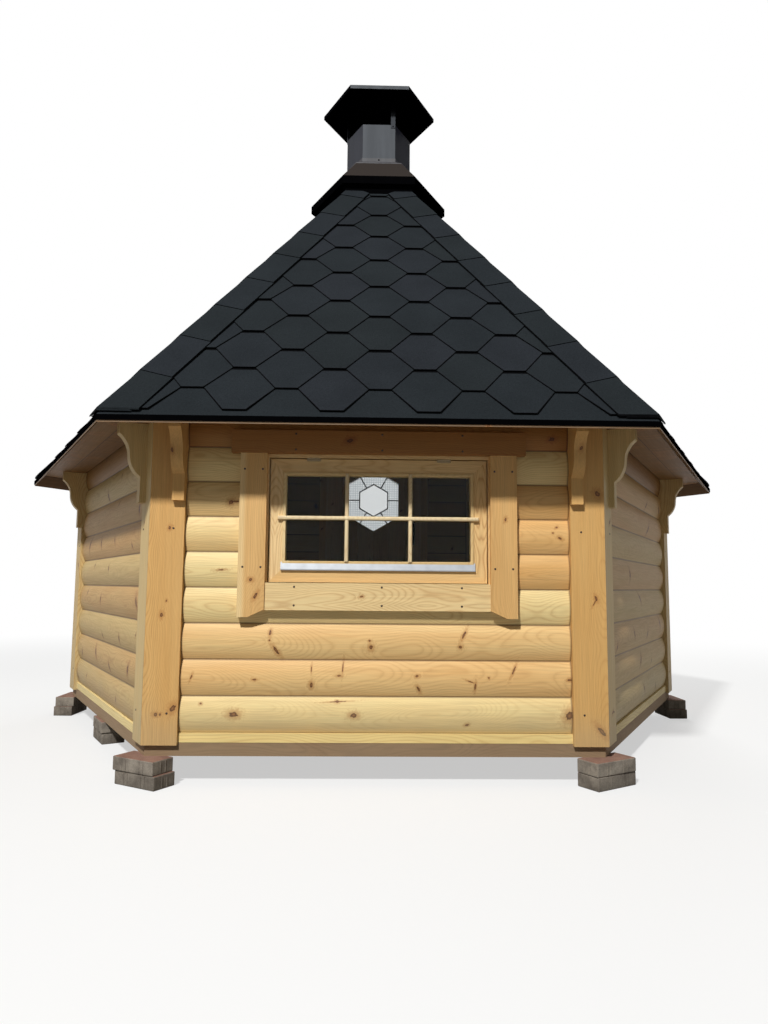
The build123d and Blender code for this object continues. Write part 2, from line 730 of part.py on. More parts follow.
def door_casings():
    inner = DOORWAY_HALF + DOOR_CASING_REVEAL
    outer = inner + DOOR_CASING_WIDTH
    return [
        block(side * inner, side * outer, LEAF_FACE, LEAF_FACE + DOOR_CASING_THICKNESS,
              THRESHOLD_TOP, SOFFIT_BOTTOM - BUTT_GAP)
        for side in (-1, 1)
    ]


# Dormer
def dormer_cheeks():
    points = [
        (LEAF_FACE, board_top(LEAF_FACE)),
        (LEAF_FACE, dormer_bottom(LEAF_FACE)),
        (DORMER_MEET_BOTTOM, dormer_bottom(DORMER_MEET_BOTTOM)),
    ]
    right = polygon_along_x(points, FRAME_HALF, FRAME_HALF + CHEEK_THICKNESS)
    left = polygon_along_x(points, -FRAME_HALF - CHEEK_THICKNESS, -FRAME_HALF)
    return [turned(right, BACK), turned(left, BACK)]


def dormer_front():
    board = polygon_along_x([
        (WALL_INSIDE, HEAD_TOP),
        (LEAF_FACE, HEAD_TOP),
        (LEAF_FACE, dormer_bottom(LEAF_FACE)),
        (WALL_INSIDE, dormer_bottom(WALL_INSIDE)),
    ], -FRAME_HALF, FRAME_HALF)
    return turned(board, BACK)


def dormer_roof():
    slab = polygon_along_x([
        (DORMER_FRONT, dormer_bottom(DORMER_FRONT)),
        (DORMER_FRONT, dormer_bottom(DORMER_FRONT) + DORMER_BOARD),
        (DORMER_MEET_TOP, dormer_bottom(DORMER_MEET_TOP) + DORMER_BOARD),
        (DORMER_MEET_BOTTOM, dormer_bottom(DORMER_MEET_BOTTOM)),
    ], -DORMER_HALF, DORMER_HALF)
    return turned(slab, BACK)


# Door leaf and what is on it
def pane_prism(corner, y0, y1):
    """A six-sided prism across the leaf, with a corner straight up and a little taller than even."""
    tip = corner + PANE_STRETCH / 2
    shoulder = corner / 2 + PANE_STRETCH / 2
    side = across(corner)
    outline = Polygon((0, tip), (-side, shoulder), (-side, -shoulder),
                      (0, -tip), (side, -shoulder), (side, shoulder))
    face = Pos(0, y0, PANE_HEIGHT) * Rot(90, 0, 0) * outline
    return extrude(face, amount=y1 - y0, dir=(0, 1, 0))


def door_leaf():
    slab = block(-LEAF_HALF, LEAF_HALF, LEAF_INSIDE, LEAF_FACE, LEAF_BOTTOM, LEAF_TOP)
    return slab - pane_prism(PANE_CORNER, LEAF_INSIDE, LEAF_FACE)


def door_glass():
    middle = (LEAF_INSIDE + LEAF_FACE) / 2
    return pane_prism(PANE_CORNER, middle - DOOR_GLASS / 2, middle + DOOR_GLASS / 2)


def door_beads():
    outer, inner = BEAD_CORNER, BEAD_CORNER - BEAD_WIDTH
    faces = [(LEAF_FACE, LEAF_FACE + BEAD_THICKNESS), (LEAF_INSIDE - BEAD_THICKNESS, LEAF_INSIDE)]
    return [pane_prism(outer, y0, y1) - pane_prism(inner, y0, y1) for y0, y1 in faces]


def hinge_heights():
    return [LEAF_BOTTOM + HINGE_END, LEAF_TOP - HINGE_END]


def pin_cylinder(radius, z0, z1):
    return Pos(PIN_X, PIN_Y, (z0 + z1) / 2) * Cylinder(radius, z1 - z0)


def door_straps():
    """The moving halves of the hinges: a long strap with one knuckle."""
    straps = []
    for height in hinge_heights():
        low, high = height - KNUCKLE_HEIGHT / 2, height + KNUCKLE_HEIGHT / 2
        strap = block(PIN_X, STRAP_END, LEAF_FACE, LEAF_FACE + PLATE_THICKNESS, low, high)
        knuckle = pin_cylinder(KNUCKLE_RADIUS, low, high)
        straps.append(strap + knuckle - pin_cylinder(PIN_RADIUS + PIN_CLEARANCE, low, high))
    return straps


def hinge_pins():
    """The fixed halves of the hinges: a plate on the jamb, two knuckles and the pin."""
    pins = []
    for height in hinge_heights():
        low, high = height - KNUCKLE_HEIGHT / 2, height + KNUCKLE_HEIGHT / 2
        bottom, top = low - KNUCKLE_HEIGHT, high + KNUCKLE_HEIGHT
        plate = block(-DOORWAY_HALF - BUTT_GAP - PLATE_WIDTH, -DOORWAY_HALF - BUTT_GAP,
                      LEAF_FACE, LEAF_FACE + PLATE_THICKNESS, bottom, top)
        plate = plate - pin_cylinder(KNUCKLE_RADIUS + KNUCKLE_GAP, low - KNUCKLE_GAP, high + KNUCKLE_GAP)
        pin = plate + pin_cylinder(PIN_RADIUS, bottom, top)
        pin = pin + pin_cylinder(KNUCKLE_RADIUS, bottom, low - KNUCKLE_GAP)
        pins.append(pin + pin_cylinder(KNUCKLE_RADIUS, high + KNUCKLE_GAP, top))
    return pins


def door_handles():
    """A pull handle on each face of the leaf."""
    handles = []
    x = LEAF_HALF - HANDLE_INSET
    middle = LEAF_BOTTOM + HANDLE_HEIGHT
    for face, way in ((LEAF_FACE, 1), (LEAF_INSIDE, -1)):
        bar = Pos(x, face + way * HANDLE_REACH, middle) * Cylinder(HANDLE_RADIUS, HANDLE_LENGTH)
        for end in (-1, 1):
            z = middle + end * (HANDLE_LENGTH / 2 - HANDLE_RADIUS * 2)
            post = Pos(x, face + way * HANDLE_REACH / 2, z) * Rot(90, 0, 0) * Cylinder(
                HANDLE_POST_RADIUS, HANDLE_REACH)
            bar = bar + post
        handles.append(bar)
    return handles


os.makedirs("parts", exist_ok=True)

save("paver_piers", piers())
save("base_beams", base_beams())
save("floor_joists", joists())
save("floor_boards", [floor()])
save("sole_strips", sole_strips())
save("front_wall_low", [front_wall_low()])
save("front_wall_beside_window", front_wall_beside())
save("front_wall_high", [front_wall_high()])
for number, wall_name in enumerate(SIDE_NAMES):
    if wall_name not in ("front", "back"):
        save(f"{wall_name}_wall", [turned(full_wall(), number)])
    save(f"roof_{wall_name}", [roof_panel(number)])
save("back_wall_beside_door", back_wall())
save("corner_posts", corner_posts())
save("eave_brackets", brackets())
save("soffit_boards", soffit_boards())
save("drip_edges", drip_edges())
save("crown_upstand", [upstand()])
save("crown_hood", [hood()])
save("chimney_flashing", [flashing()])
save("chimney_tube", [tube()])
save("cap_straps", cap_straps())
save("chimney_cap", [cap()])
save("window_frame", window_frame())
save("window_sash", [window_sash()])
save("window_glass", [window_glass()])
save("window_casings", window_casings())
save("window_drip_rail", [window_drip_rail()])
save("window_hinges", window_hinges())
save("door_frame", door_frame())
save("door_threshold", [threshold()])
save("door_casings", door_casings())
save("dormer_cheeks", dormer_cheeks())
save("dormer_front", [dormer_front()])
save("dormer_roof", [dormer_roof()])
save("hinge_pins", hinge_pins())
save("door_leaf", [door_leaf()])
save("door_glass", [door_glass()])
save("door_beads", door_beads())
save("door_straps", door_straps())
save("door_handles", door_handles())
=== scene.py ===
# %% [markdown]
# # A six-sided log hut
# The hut is already there as solids in true size: piers, beams, log walls, posts, roof panels and chimney.
# This lesson dresses those solids. It gives every one its real finish, and it adds what was left out of
# them: shingles, hip strips, window bars, door boards, leads, pavers, nails and screws.
# Everything is in metres. X runs along the front wall, Y runs to the back and Z is up.

# %% Load the hut
import math
import random

import bmesh
import bpy
from mathutils import Matrix, Vector


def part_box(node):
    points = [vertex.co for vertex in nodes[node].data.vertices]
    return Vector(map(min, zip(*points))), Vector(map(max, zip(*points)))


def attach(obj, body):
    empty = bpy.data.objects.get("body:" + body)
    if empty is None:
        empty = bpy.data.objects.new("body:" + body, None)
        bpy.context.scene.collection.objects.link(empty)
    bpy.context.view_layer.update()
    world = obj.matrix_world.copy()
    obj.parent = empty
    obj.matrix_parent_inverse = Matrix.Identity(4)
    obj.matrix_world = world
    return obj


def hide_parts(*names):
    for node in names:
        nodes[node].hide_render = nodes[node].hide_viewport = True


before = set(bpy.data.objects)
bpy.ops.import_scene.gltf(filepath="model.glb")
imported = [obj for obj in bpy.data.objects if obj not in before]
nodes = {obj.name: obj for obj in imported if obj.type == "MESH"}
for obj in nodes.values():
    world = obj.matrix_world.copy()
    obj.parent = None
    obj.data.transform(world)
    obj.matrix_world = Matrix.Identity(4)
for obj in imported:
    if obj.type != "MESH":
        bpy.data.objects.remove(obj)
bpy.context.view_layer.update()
bpy.context.scene.view_settings.view_transform = "Standard"
SIDES = 6
TURN = math.radians(60)
MM = 0.001

# %% [markdown]
# The camera comes first, because every later choice of detail depends on how near it stands. It is low and
# close, just left of the middle, and looks a little up, so the eave hides most of the upper wall. A camera
# could be turned by hand until the picture fits. Here its place and its three turns were worked out from
# the hut's corners, and they are written down as a turn sideways, a turn up and a slight roll.

# %% Camera
CAMERA_PLACE = Vector((-0.0371, -4.1881, 0.7233))
CAMERA_YAW, CAMERA_PITCH, CAMERA_ROLL = 0.0211, 0.1014, 0.0084
LENS = 33.9
SENSOR = 36.0

ahead = Vector((math.sin(CAMERA_YAW) * math.cos(CAMERA_PITCH),
                math.cos(CAMERA_YAW) * math.cos(CAMERA_PITCH),
                math.sin(CAMERA_PITCH)))
level_right = Vector((math.cos(CAMERA_YAW), -math.sin(CAMERA_YAW), 0))
level_up = level_right.cross(ahead)
right = level_right * math.cos(CAMERA_ROLL) + level_up * math.sin(CAMERA_ROLL)
up = level_up * math.cos(CAMERA_ROLL) - level_right * math.sin(CAMERA_ROLL)

lens_data = bpy.data.cameras.new("camera")
camera = bpy.data.objects.new("camera", lens_data)
bpy.context.scene.collection.objects.link(camera)
lens_data.sensor_fit = "HORIZONTAL"
lens_data.sensor_width = SENSOR
lens_data.lens = LENS
lens_data.clip_end = 200
camera.matrix_world = Matrix.Translation(CAMERA_PLACE) @ Matrix((right, up, -ahead)).transposed().to_4x4()
bpy.context.scene.camera = camera
print("camera height", CAMERA_PLACE.z, "lens", LENS)

# %% [markdown]
# Colours are written as the hex values that a colour picker shows, and one function turns them into the
# linear values that the renderer works with. Shaders are built by code with one helper. It adds a node,
# applies its settings, and fills each input with a number or a link. Where a node is given, its first
# output in use is linked.

# %% Colours and shader nodes
def colour(code):
    """Linear red, green, blue and alpha of an sRGB hex value."""
    parts = [int(code[i:i + 2], 16) / 255 for i in (1, 3, 5)]
    linear = [p / 12.92 if p <= 0.04045 else ((p + 0.055) / 1.055) ** 2.4 for p in parts]
    return (*linear, 1.0)


def add(tree, kind, inputs=None, stops=None, **settings):
    """Adds one shader node with its settings, values and links."""
    node = tree.nodes.new("ShaderNode" + kind)
    for key, value in settings.items():
        setattr(node, key, value)
    if stops:
        ramp = node.color_ramp
        while len(ramp.elements) < len(stops):
            ramp.elements.new(1.0)
        for element, (place, shade) in zip(ramp.elements, stops):
            element.position = place
            element.color = shade
    for key, value in (inputs or {}).items():
        if isinstance(value, bpy.types.Node):
            value = next(output for output in value.outputs if output.enabled)
        if isinstance(value, bpy.types.NodeSocket):
            tree.links.new(value, node.inputs[key])
        else:
            node.inputs[key].default_value = value
    return node


def new_finish(name):
    """An empty material, its node tree and its shader."""
    material = bpy.data.materials.new(name)
    material.use_nodes = True
    tree = material.node_tree
    shader = tree.nodes["Principled BSDF"]
    return material, tree, shader


# %% [markdown]
# The studio is a pale floor under an even white surround, with one soft lamp high at the front left, where
# the daylight came from, and a weak one behind. A bright surround could overexpose the wood. So it lights
# the hut only a little and looks white to the camera, to mirrors and through glass. The floor is treated
# the same way and keeps a soft shadow. Further out it turns as white as the surround.

# %% Floor, surround and lamps
FLOOR_SIZE = 120
FLOOR_WHITE = 0.55
WHITER_FROM = 3.0
WHITE_BEYOND = 8.0
SURROUND_LIGHT = 0.1
KEY_SIZE = 0.8
KEY_POWER = 2060
KEY_PLACE = Vector((-3.2, -9.7, 10.1))
BACK_SIZE = 5.0
BACK_POWER = 660
BACK_PLACE = Vector((3.5, 9.0, 7.0))
LAMP_TARGET = Vector((0, 0, 1.2))


def seen_directly(tree):
    """1 for rays that end in the camera, in a reflection or behind glass."""
    path = add(tree, "LightPath")
    mirrored = add(tree, "Math", {0: path.outputs["Is Glossy Ray"], 1: path.outputs["Is Transmission Ray"]},
                   operation="MAXIMUM")
    return add(tree, "Math", {0: path.outputs["Is Camera Ray"], 1: mirrored}, operation="MAXIMUM")


world = bpy.data.worlds.new("surround")
bpy.context.scene.world = world
world.use_nodes = True
tree = world.node_tree
strength = add(tree, "MapRange", {"Value": seen_directly(tree), "To Min": SURROUND_LIGHT, "To Max": 1.0})
tree.links.new(strength.outputs[0], tree.nodes["Background"].inputs["Strength"])
tree.nodes["Background"].inputs["Color"].default_value = colour("#ffffff")

floor_finish, tree, shader = new_finish("pale_studio_floor")
floor_tone = add(tree, "MixRGB", {"Fac": seen_directly(tree), "Color1": colour("#7d7b78"),
                                  "Color2": colour("#e4e4e2")})
tree.links.new(floor_tone.outputs[0], shader.inputs["Base Color"])
shader.inputs["Roughness"].default_value = 0.9
white = add(tree, "Emission", {"Color": colour("#ffffff"), "Strength": 1.0})
away = add(tree, "VectorMath", {0: add(tree, "TexCoord").outputs["Object"]}, operation="LENGTH")
whiteness = add(tree, "MapRange", {"Value": away.outputs["Value"], "From Min": WHITER_FROM,
                                   "From Max": WHITE_BEYOND, "To Min": FLOOR_WHITE, "To Max": 1.0},
                interpolation_type="SMOOTHSTEP")
share = add(tree, "Math", {0: seen_directly(tree), 1: whiteness}, operation="MULTIPLY")
mixed = add(tree, "MixShader", {0: share, 1: shader, 2: white})
tree.links.new(mixed.outputs[0], tree.nodes["Material Output"].inputs["Surface"])

bpy.ops.object.select_all(action="DESELECT")
bpy.ops.mesh.primitive_plane_add(size=FLOOR_SIZE, location=(0, 0, 0))
floor = bpy.context.object
floor.name = "studio_floor"
floor.data.materials.append(floor_finish)


def lamp(name, place, size, power):
    """A square soft lamp that looks at the hut's middle."""
    data = bpy.data.lights.new(name, "AREA")
    data.size = size
    data.energy = power
    obj = bpy.data.objects.new(name, data)
    bpy.context.scene.collection.objects.link(obj)
    obj.location = place
    obj.rotation_euler = (LAMP_TARGET - place).to_track_quat("-Z", "Y").to_euler()


lamp("key_lamp", KEY_PLACE, KEY_SIZE, KEY_POWER)
lamp("back_lamp", BACK_PLACE, BACK_SIZE, BACK_POWER)
print("lamps:", KEY_POWER, BACK_POWER, "surround:", SURROUND_LIGHT)

# %% [markdown]
# A few helpers keep the modelling short. Some add a primitive, open it for editing and close it again. One
# selects faces, edges or vertices by a test on their middle, as a hand would click them. Others copy, join,
# cut and bevel. The last one finishes a piece: it applies its place, names it, gives it its finish, and
# ties it to the hut or to the door.

# %% Modelling helpers
STANDING = (math.radians(90), 0, 0)     # turns a flat primitive upright, so that it faces the front


def only(obj):
    """Selects one object and makes it active."""
    bpy.ops.object.select_all(action="DESELECT")
    obj.select_set(True)
    bpy.context.view_layer.objects.active = obj


def pick(obj, kind, test):
    """In edit mode, selects the vertices, edges or faces whose middle passes the test."""
    bpy.ops.mesh.select_all(action="DESELECT")
    bpy.context.tool_settings.mesh_select_mode = (kind == "verts", kind == "edges", kind == "faces")
    grid = bmesh.from_edit_mesh(obj.data)
    for item in getattr(grid, kind):
        corners = [item] if kind == "verts" else item.verts
        middle = sum((v.co for v in corners), Vector()) / len(corners)
        if test(middle, item):
            item.select_set(True)
    grid.select_flush_mode()
    bmesh.update_edit_mesh(obj.data)


def placed(primitive, **settings):
    """A primitive with its place, turn and size in its mesh."""
    bpy.ops.object.select_all(action="DESELECT")
    primitive(**settings)
    bpy.ops.object.transform_apply(location=True, rotation=True, scale=True)
    return bpy.context.object


def opened(primitive, **settings):
    """A placed primitive in edit mode, with all of it selected."""
    piece = placed(primitive, **settings)
    bpy.ops.object.mode_set(mode="EDIT")
    bpy.ops.mesh.select_all(action="SELECT")
    return piece


def hexagon(corner, **settings):
    """A six-sided face in edit mode."""
    return opened(bpy.ops.mesh.primitive_circle_add, vertices=SIDES, radius=corner, fill_type="NGON",
                  **settings)


def extrude(way):
    """Extrudes all that is being edited."""
    bpy.ops.mesh.select_all(action="SELECT")
    bpy.ops.mesh.extrude_region_move(TRANSFORM_OT_translate={"value": way})


def close():
    """Turns all faces outwards and leaves edit mode."""
    bpy.ops.mesh.select_all(action="SELECT")
    bpy.ops.mesh.normals_make_consistent(inside=False)
    bpy.ops.object.mode_set(mode="OBJECT")


def frame_of(width, way):
    """Makes a frame of the one face that is being edited, extrudes it and leaves edit mode."""
    bpy.ops.mesh.inset(thickness=width, depth=0)
    bpy.ops.mesh.delete(type="FACE")
    extrude(way)
    close()


def twin(obj, matrix=None):
    """A copy with its own mesh, moved by a matrix."""
    copy = obj.copy()
    copy.data = obj.data.copy()
    bpy.context.scene.collection.objects.link(copy)
    if matrix is not None:
        copy.data.transform(matrix)
    return copy


def joined(pieces):
    """Makes one object of several."""
    only(pieces[0])
    for piece in pieces:
        piece.select_set(True)
    if len(pieces) > 1:
        bpy.ops.object.join()
    return bpy.context.object


def drop(*pieces):
    """Deletes patterns that were only there to be copied."""
    for piece in pieces:
        bpy.data.objects.remove(piece)


def cut(obj, place, normal):
    """Cuts off all that lies beyond a plane, on the side that its normal points to."""
    only(obj)
    bpy.ops.object.mode_set(mode="EDIT")
    bpy.ops.mesh.select_all(action="SELECT")
    bpy.ops.mesh.bisect(plane_co=place, plane_no=Vector(normal).normalized(), use_fill=True,
                        clear_outer=True)
    bpy.ops.object.mode_set(mode="OBJECT")


def slab(low, high):
    """A block between two corners."""
    low = Vector(low)
    high = Vector(high)
    return placed(bpy.ops.mesh.primitive_cube_add, size=1, location=(low + high) / 2, scale=high - low)


def round_edges(obj, width, segments=2, test=None):
    """Bevels the edges that pass the test, or all of them."""
    only(obj)
    bpy.ops.object.mode_set(mode="EDIT")
    pick(obj, "edges", test or (lambda middle, edge: True))
    bpy.ops.mesh.bevel(offset=width, segments=segments, profile=0.5, affect="EDGES", clamp_overlap=True)
    bpy.ops.object.mode_set(mode="OBJECT")


def finished(piece, name, finish=None, body="root", instead_of=(), smooth=None):
    """Names a piece, applies its place, gives it its finish and ties it to a body."""
    only(piece)
    bpy.ops.object.transform_apply(location=True, rotation=True, scale=True)
    if smooth:
        bpy.ops.object.shade_smooth_by_angle(angle=math.radians(smooth))
    piece.name = name
    piece.data.name = name
    if finish:
        piece.data.materials.clear()
        piece.data.materials.append(finish)
    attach(piece, body)
    if instead_of:
        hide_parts(*instead_of)
    print(name, len(piece.data.polygons), "faces")


def dress(finish, *names):
    """Gives solids of the hut their finish."""
    for name in names:
        nodes[name].data.materials.clear()
        nodes[name].data.materials.append(finish)
    print(finish.name, "on", ", ".join(names))


def turn_to(side):
    """Turns a front piece to another side of the hut."""
    return Matrix.Rotation(TURN * side, 4, "Z")


# %% [markdown]
# Every side of the hut is the front side, turned. So one set of nodes works out, for any point, which
# side it belongs to, and turns it back to the front. Wood and dirt can then be drawn once, as distances
# along the wall, out from the middle and up, and they fit all six sides.

# %% Coordinates that follow the six sides
def along_out_up(tree):
    """Distance along the wall, out from the centre and up, and the number of the side."""
    here = add(tree, "TexCoord").outputs["Object"]
    split = add(tree, "SeparateXYZ", {0: here})
    forward = add(tree, "Math", {0: split.outputs["Y"], 1: -1.0}, operation="MULTIPLY")
    angle = add(tree, "Math", {0: split.outputs["X"], 1: forward}, operation="ARCTAN2")
    sixths = add(tree, "Math", {0: angle, 1: TURN}, operation="DIVIDE")
    side = add(tree, "Math", {0: sixths}, operation="ROUND")
    back = add(tree, "Math", {0: side, 1: -TURN}, operation="MULTIPLY")
    turned = add(tree, "VectorRotate", {"Vector": here, "Angle": back}, rotation_type="Z_AXIS")
    parts = add(tree, "SeparateXYZ", {0: turned})
    out = add(tree, "Math", {0: parts.outputs["Y"], 1: -1.0}, operation="MULTIPLY")
    return parts.outputs["X"], out.outputs[0], parts.outputs["Z"], side.outputs[0]


# %% [markdown]
# Pine is the main finish. A board is a slice through a trunk, so its figure is drawn as one: rings round a
# heart that lies behind the face and wanders a little. Where the face only grazes the rings they open
# into pointed arches, and near the edges they close up into lines, as on a real board. A flat wave
# texture could give lines, but never those arches. Real rings are 2 to 4 mm apart. They are drawn 5 to
# 6 mm apart, because the camera can't resolve finer ones. Knots sit in cells along the board, each with
# its own place, size and lean, and the rings bend round them. A list can also name knots on the front side:
# along, up, half their length and width in millimetres, and their lean in degrees. Every board gets a
# number, which sets its tone, its heart and its knots. The odd factors in those numbers only keep any two
# boards apart. A heart aside of the board gives straight lines, as in a quarter-sawn board.

# %% Pine
RING = 0.0062
KNOT_SPACING = 0.36
KNOT_SMALL = 0.0035
KNOT_LARGE = 0.0115
HEART_REACH = 0.34          # how far the heart wanders, in board widths
TAPER = 0.012
BETWEEN_BOARDS = 37.0       # boards take their figure from places up to this far apart
FAR_AWAY = 1000.0


def near_knots(tree, knots):
    """Distance to the nearest of some knots on the front side, as a multiple of that knot's size."""
    along, out, up_here, side = along_out_up(tree)
    face = add(tree, "CombineXYZ", {0: along, 1: up_here})
    nearest = FAR_AWAY
    for x, z, half_long, half_short, lean in knots:
        turned = (0.0, 0.0, math.radians(lean))
        local = add(tree, "Mapping", {"Vector": face, "Location": (x * MM, z * MM, 0.0), "Rotation": turned,
                                      "Scale": (half_long * MM, half_short * MM, 1.0)},
                    vector_type="TEXTURE")
        away = add(tree, "VectorMath", {0: local}, operation="LENGTH")
        nearest = add(tree, "Math", {0: away.outputs["Value"], 1: nearest}, operation="MINIMUM")
    other_side = add(tree, "Math", {0: side}, operation="ABSOLUTE")
    return add(tree, "Math", {0: other_side, 1: FAR_AWAY, 2: nearest}, operation="MULTIPLY_ADD")


def pine(name, place, tones, late="#a8713a", knot="#4f2d14", knot_share=0.6, knot_size=1.0, board_width=0.13,
         rough=0.55, ring=RING, heart_depth=0.05, heart_aside=0.0, contrast=0.42, joints=None, stain_and_shade=None,
         knots=(), tone_of=None):
    """Bare planed pine. place(tree) gives the position along, across and into a board, and its number."""
    material, tree, shader = new_finish(name)
    along, across, depth, board = place(tree)

    # Numbers thrown for each board
    dice = add(tree, "TexWhiteNoise", {"W": board}, noise_dimensions="1D")
    thrown = add(tree, "SeparateColor", {0: dice.outputs["Color"]})
    shift = add(tree, "Math", {0: dice.outputs["Value"], 1: BETWEEN_BOARDS}, operation="MULTIPLY")
    run = add(tree, "Math", {0: along, 1: shift}, operation="ADD")

    # Knots: one cell for each stretch of board
    cells = add(tree, "Math", {0: run, 1: KNOT_SPACING}, operation="DIVIDE")
    cell = add(tree, "Math", {0: cells}, operation="FLOOR")
    within = add(tree, "Math", {0: cells}, operation="FRACT")
    pair = add(tree, "CombineXYZ", {0: cell, 1: board})
    cast = add(tree, "TexWhiteNoise", {"Vector": pair}, noise_dimensions="2D")
    odds = add(tree, "SeparateColor", {0: cast.outputs["Color"]})
    centre = add(tree, "MapRange", {"Value": odds.outputs[0], "To Min": 0.25, "To Max": 0.75})
    offset = add(tree, "Math", {0: within, 1: centre}, operation="SUBTRACT")
    knot_along = add(tree, "Math", {0: offset, 1: KNOT_SPACING}, operation="MULTIPLY")
    height = add(tree, "MapRange", {"Value": odds.outputs[1], "To Min": -0.3 * board_width,
                                    "To Max": 0.3 * board_width})
    knot_across = add(tree, "Math", {0: across, 1: height}, operation="SUBTRACT")
    lean = add(tree, "MapRange", {"Value": odds.outputs[2], "To Min": -0.9, "To Max": 0.9})
    slant = add(tree, "Math", {0: knot_across, 1: lean}, operation="MULTIPLY")
    leaning = add(tree, "Math", {0: knot_along, 1: slant}, operation="SUBTRACT")
    flat = add(tree, "Math", {0: knot_across, 1: 0.55}, operation="MULTIPLY")
    span = add(tree, "CombineXYZ", {0: leaning, 1: flat})
    fibre_place = add(tree, "CombineXYZ", {0: run, 1: across, 2: depth})
    wobble = add(tree, "TexNoise", {"Vector": fibre_place, "Scale": 110.0, "Detail": 2.0})
    reach = add(tree, "VectorMath", {0: span}, operation="LENGTH")
    size = add(tree, "MapRange", {"Value": cast.outputs["Value"], "From Min": 1.0 - knot_share,
                                  "From Max": 1.0,
                                  "To Min": KNOT_SMALL * knot_size, "To Max": KNOT_LARGE * knot_size})
    absent = add(tree, "Math", {0: cast.outputs["Value"], 1: 1.0 - knot_share}, operation="LESS_THAN")
    share = add(tree, "Math", {0: reach.outputs["Value"], 1: size}, operation="DIVIDE")
    ratio = add(tree, "Math", {0: absent, 1: FAR_AWAY, 2: share}, operation="MULTIPLY_ADD")
    if knots:
        side = add(tree, "Math", {0: along_out_up(tree)[3]}, operation="ABSOLUTE")
        at_front = add(tree, "Math", {0: side, 1: 0.5}, operation="LESS_THAN")
        elsewhere = add(tree, "Math", {0: at_front, 1: FAR_AWAY, 2: ratio}, operation="MULTIPLY_ADD")
        ratio = add(tree, "Math", {0: elsewhere, 1: near_knots(tree, knots)}, operation="MINIMUM")
    rough_edge = add(tree, "MapRange", {"Value": wobble, "From Min": 0.3, "From Max": 0.7, "To Min": 0.75,
                                        "To Max": 1.3})
    distance = add(tree, "Math", {0: ratio, 1: rough_edge}, operation="MULTIPLY")
    core = add(tree, "MapRange", {"Value": distance, "From Min": 0.75, "From Max": 1.1, "To Min": 1.0,
                                  "To Max": 0.0}, interpolation_type="SMOOTHSTEP")
    halo = add(tree, "MapRange", {"Value": distance, "From Min": 0.8, "From Max": 3.4, "To Min": 0.6,
                                  "To Max": 0.0}, interpolation_type="SMOOTHSTEP")
    push = add(tree, "MapRange", {"Value": distance, "From Min": 0.0, "From Max": 4.5, "To Min": 0.009,
                                  "To Max": 0.0}, interpolation_type="SMOOTHSTEP")
    knot_tone = add(tree, "ValToRGB", {"Fac": distance}, stops=[(0.1, colour("#8d5f35")),
                                                                (0.75, colour(knot))])

    # Rings round a heart that wanders along the board
    slow = add(tree, "CombineXYZ", {0: run, 1: board})
    wander = add(tree, "TexNoise", {"Vector": slow, "Scale": 1.7, "Detail": 2.0, "Roughness": 0.45})
    drift = add(tree, "SeparateColor", {0: wander.outputs["Color"]})
    heart_across = add(tree, "MapRange", {"Value": drift.outputs[0], "From Min": 0.25, "From Max": 0.75,
                                          "To Min": heart_aside - HEART_REACH * board_width,
                                          "To Max": heart_aside + HEART_REACH * board_width})
    heart = add(tree, "MapRange", {"Value": drift.outputs[1], "From Min": 0.25, "From Max": 0.75,
                                   "To Min": 0.25 * heart_depth, "To Max": 1.75 * heart_depth})
    from_heart = add(tree, "Math", {0: across, 1: heart_across}, operation="SUBTRACT")
    below = add(tree, "Math", {0: depth, 1: heart}, operation="ADD")
    spoke = add(tree, "CombineXYZ", {0: from_heart, 1: below})
    radius = add(tree, "VectorMath", {0: spoke}, operation="LENGTH")
    taper = add(tree, "Math", {0: run, 1: TAPER, 2: radius.outputs["Value"]}, operation="MULTIPLY_ADD")
    bent = add(tree, "Math", {0: taper, 1: push}, operation="ADD")
    fibre_scaled = add(tree, "VectorMath", {0: fibre_place, 1: (5.0, 170.0, 170.0)}, operation="MULTIPLY")
    fibre = add(tree, "TexNoise", {"Vector": fibre_scaled, "Scale": 1.0, "Detail": 3.0, "Roughness": 0.6})
    uneven = add(tree, "Math", {0: fibre, 1: 0.0022, 2: bent}, operation="MULTIPLY_ADD")
    count = add(tree, "Math", {0: uneven, 1: ring}, operation="DIVIDE")
    phase = add(tree, "Math", {0: count}, operation="FRACT")
    grey = [(0.0, (0.25, 0.25, 0.25, 1)), (0.3, (0, 0, 0, 1)), (0.6, (0.2, 0.2, 0.2, 1)),
            (0.86, (1, 1, 1, 1)), (1.0, (0.25, 0.25, 0.25, 1))]
    lines = add(tree, "ValToRGB", {"Fac": phase}, stops=grey)

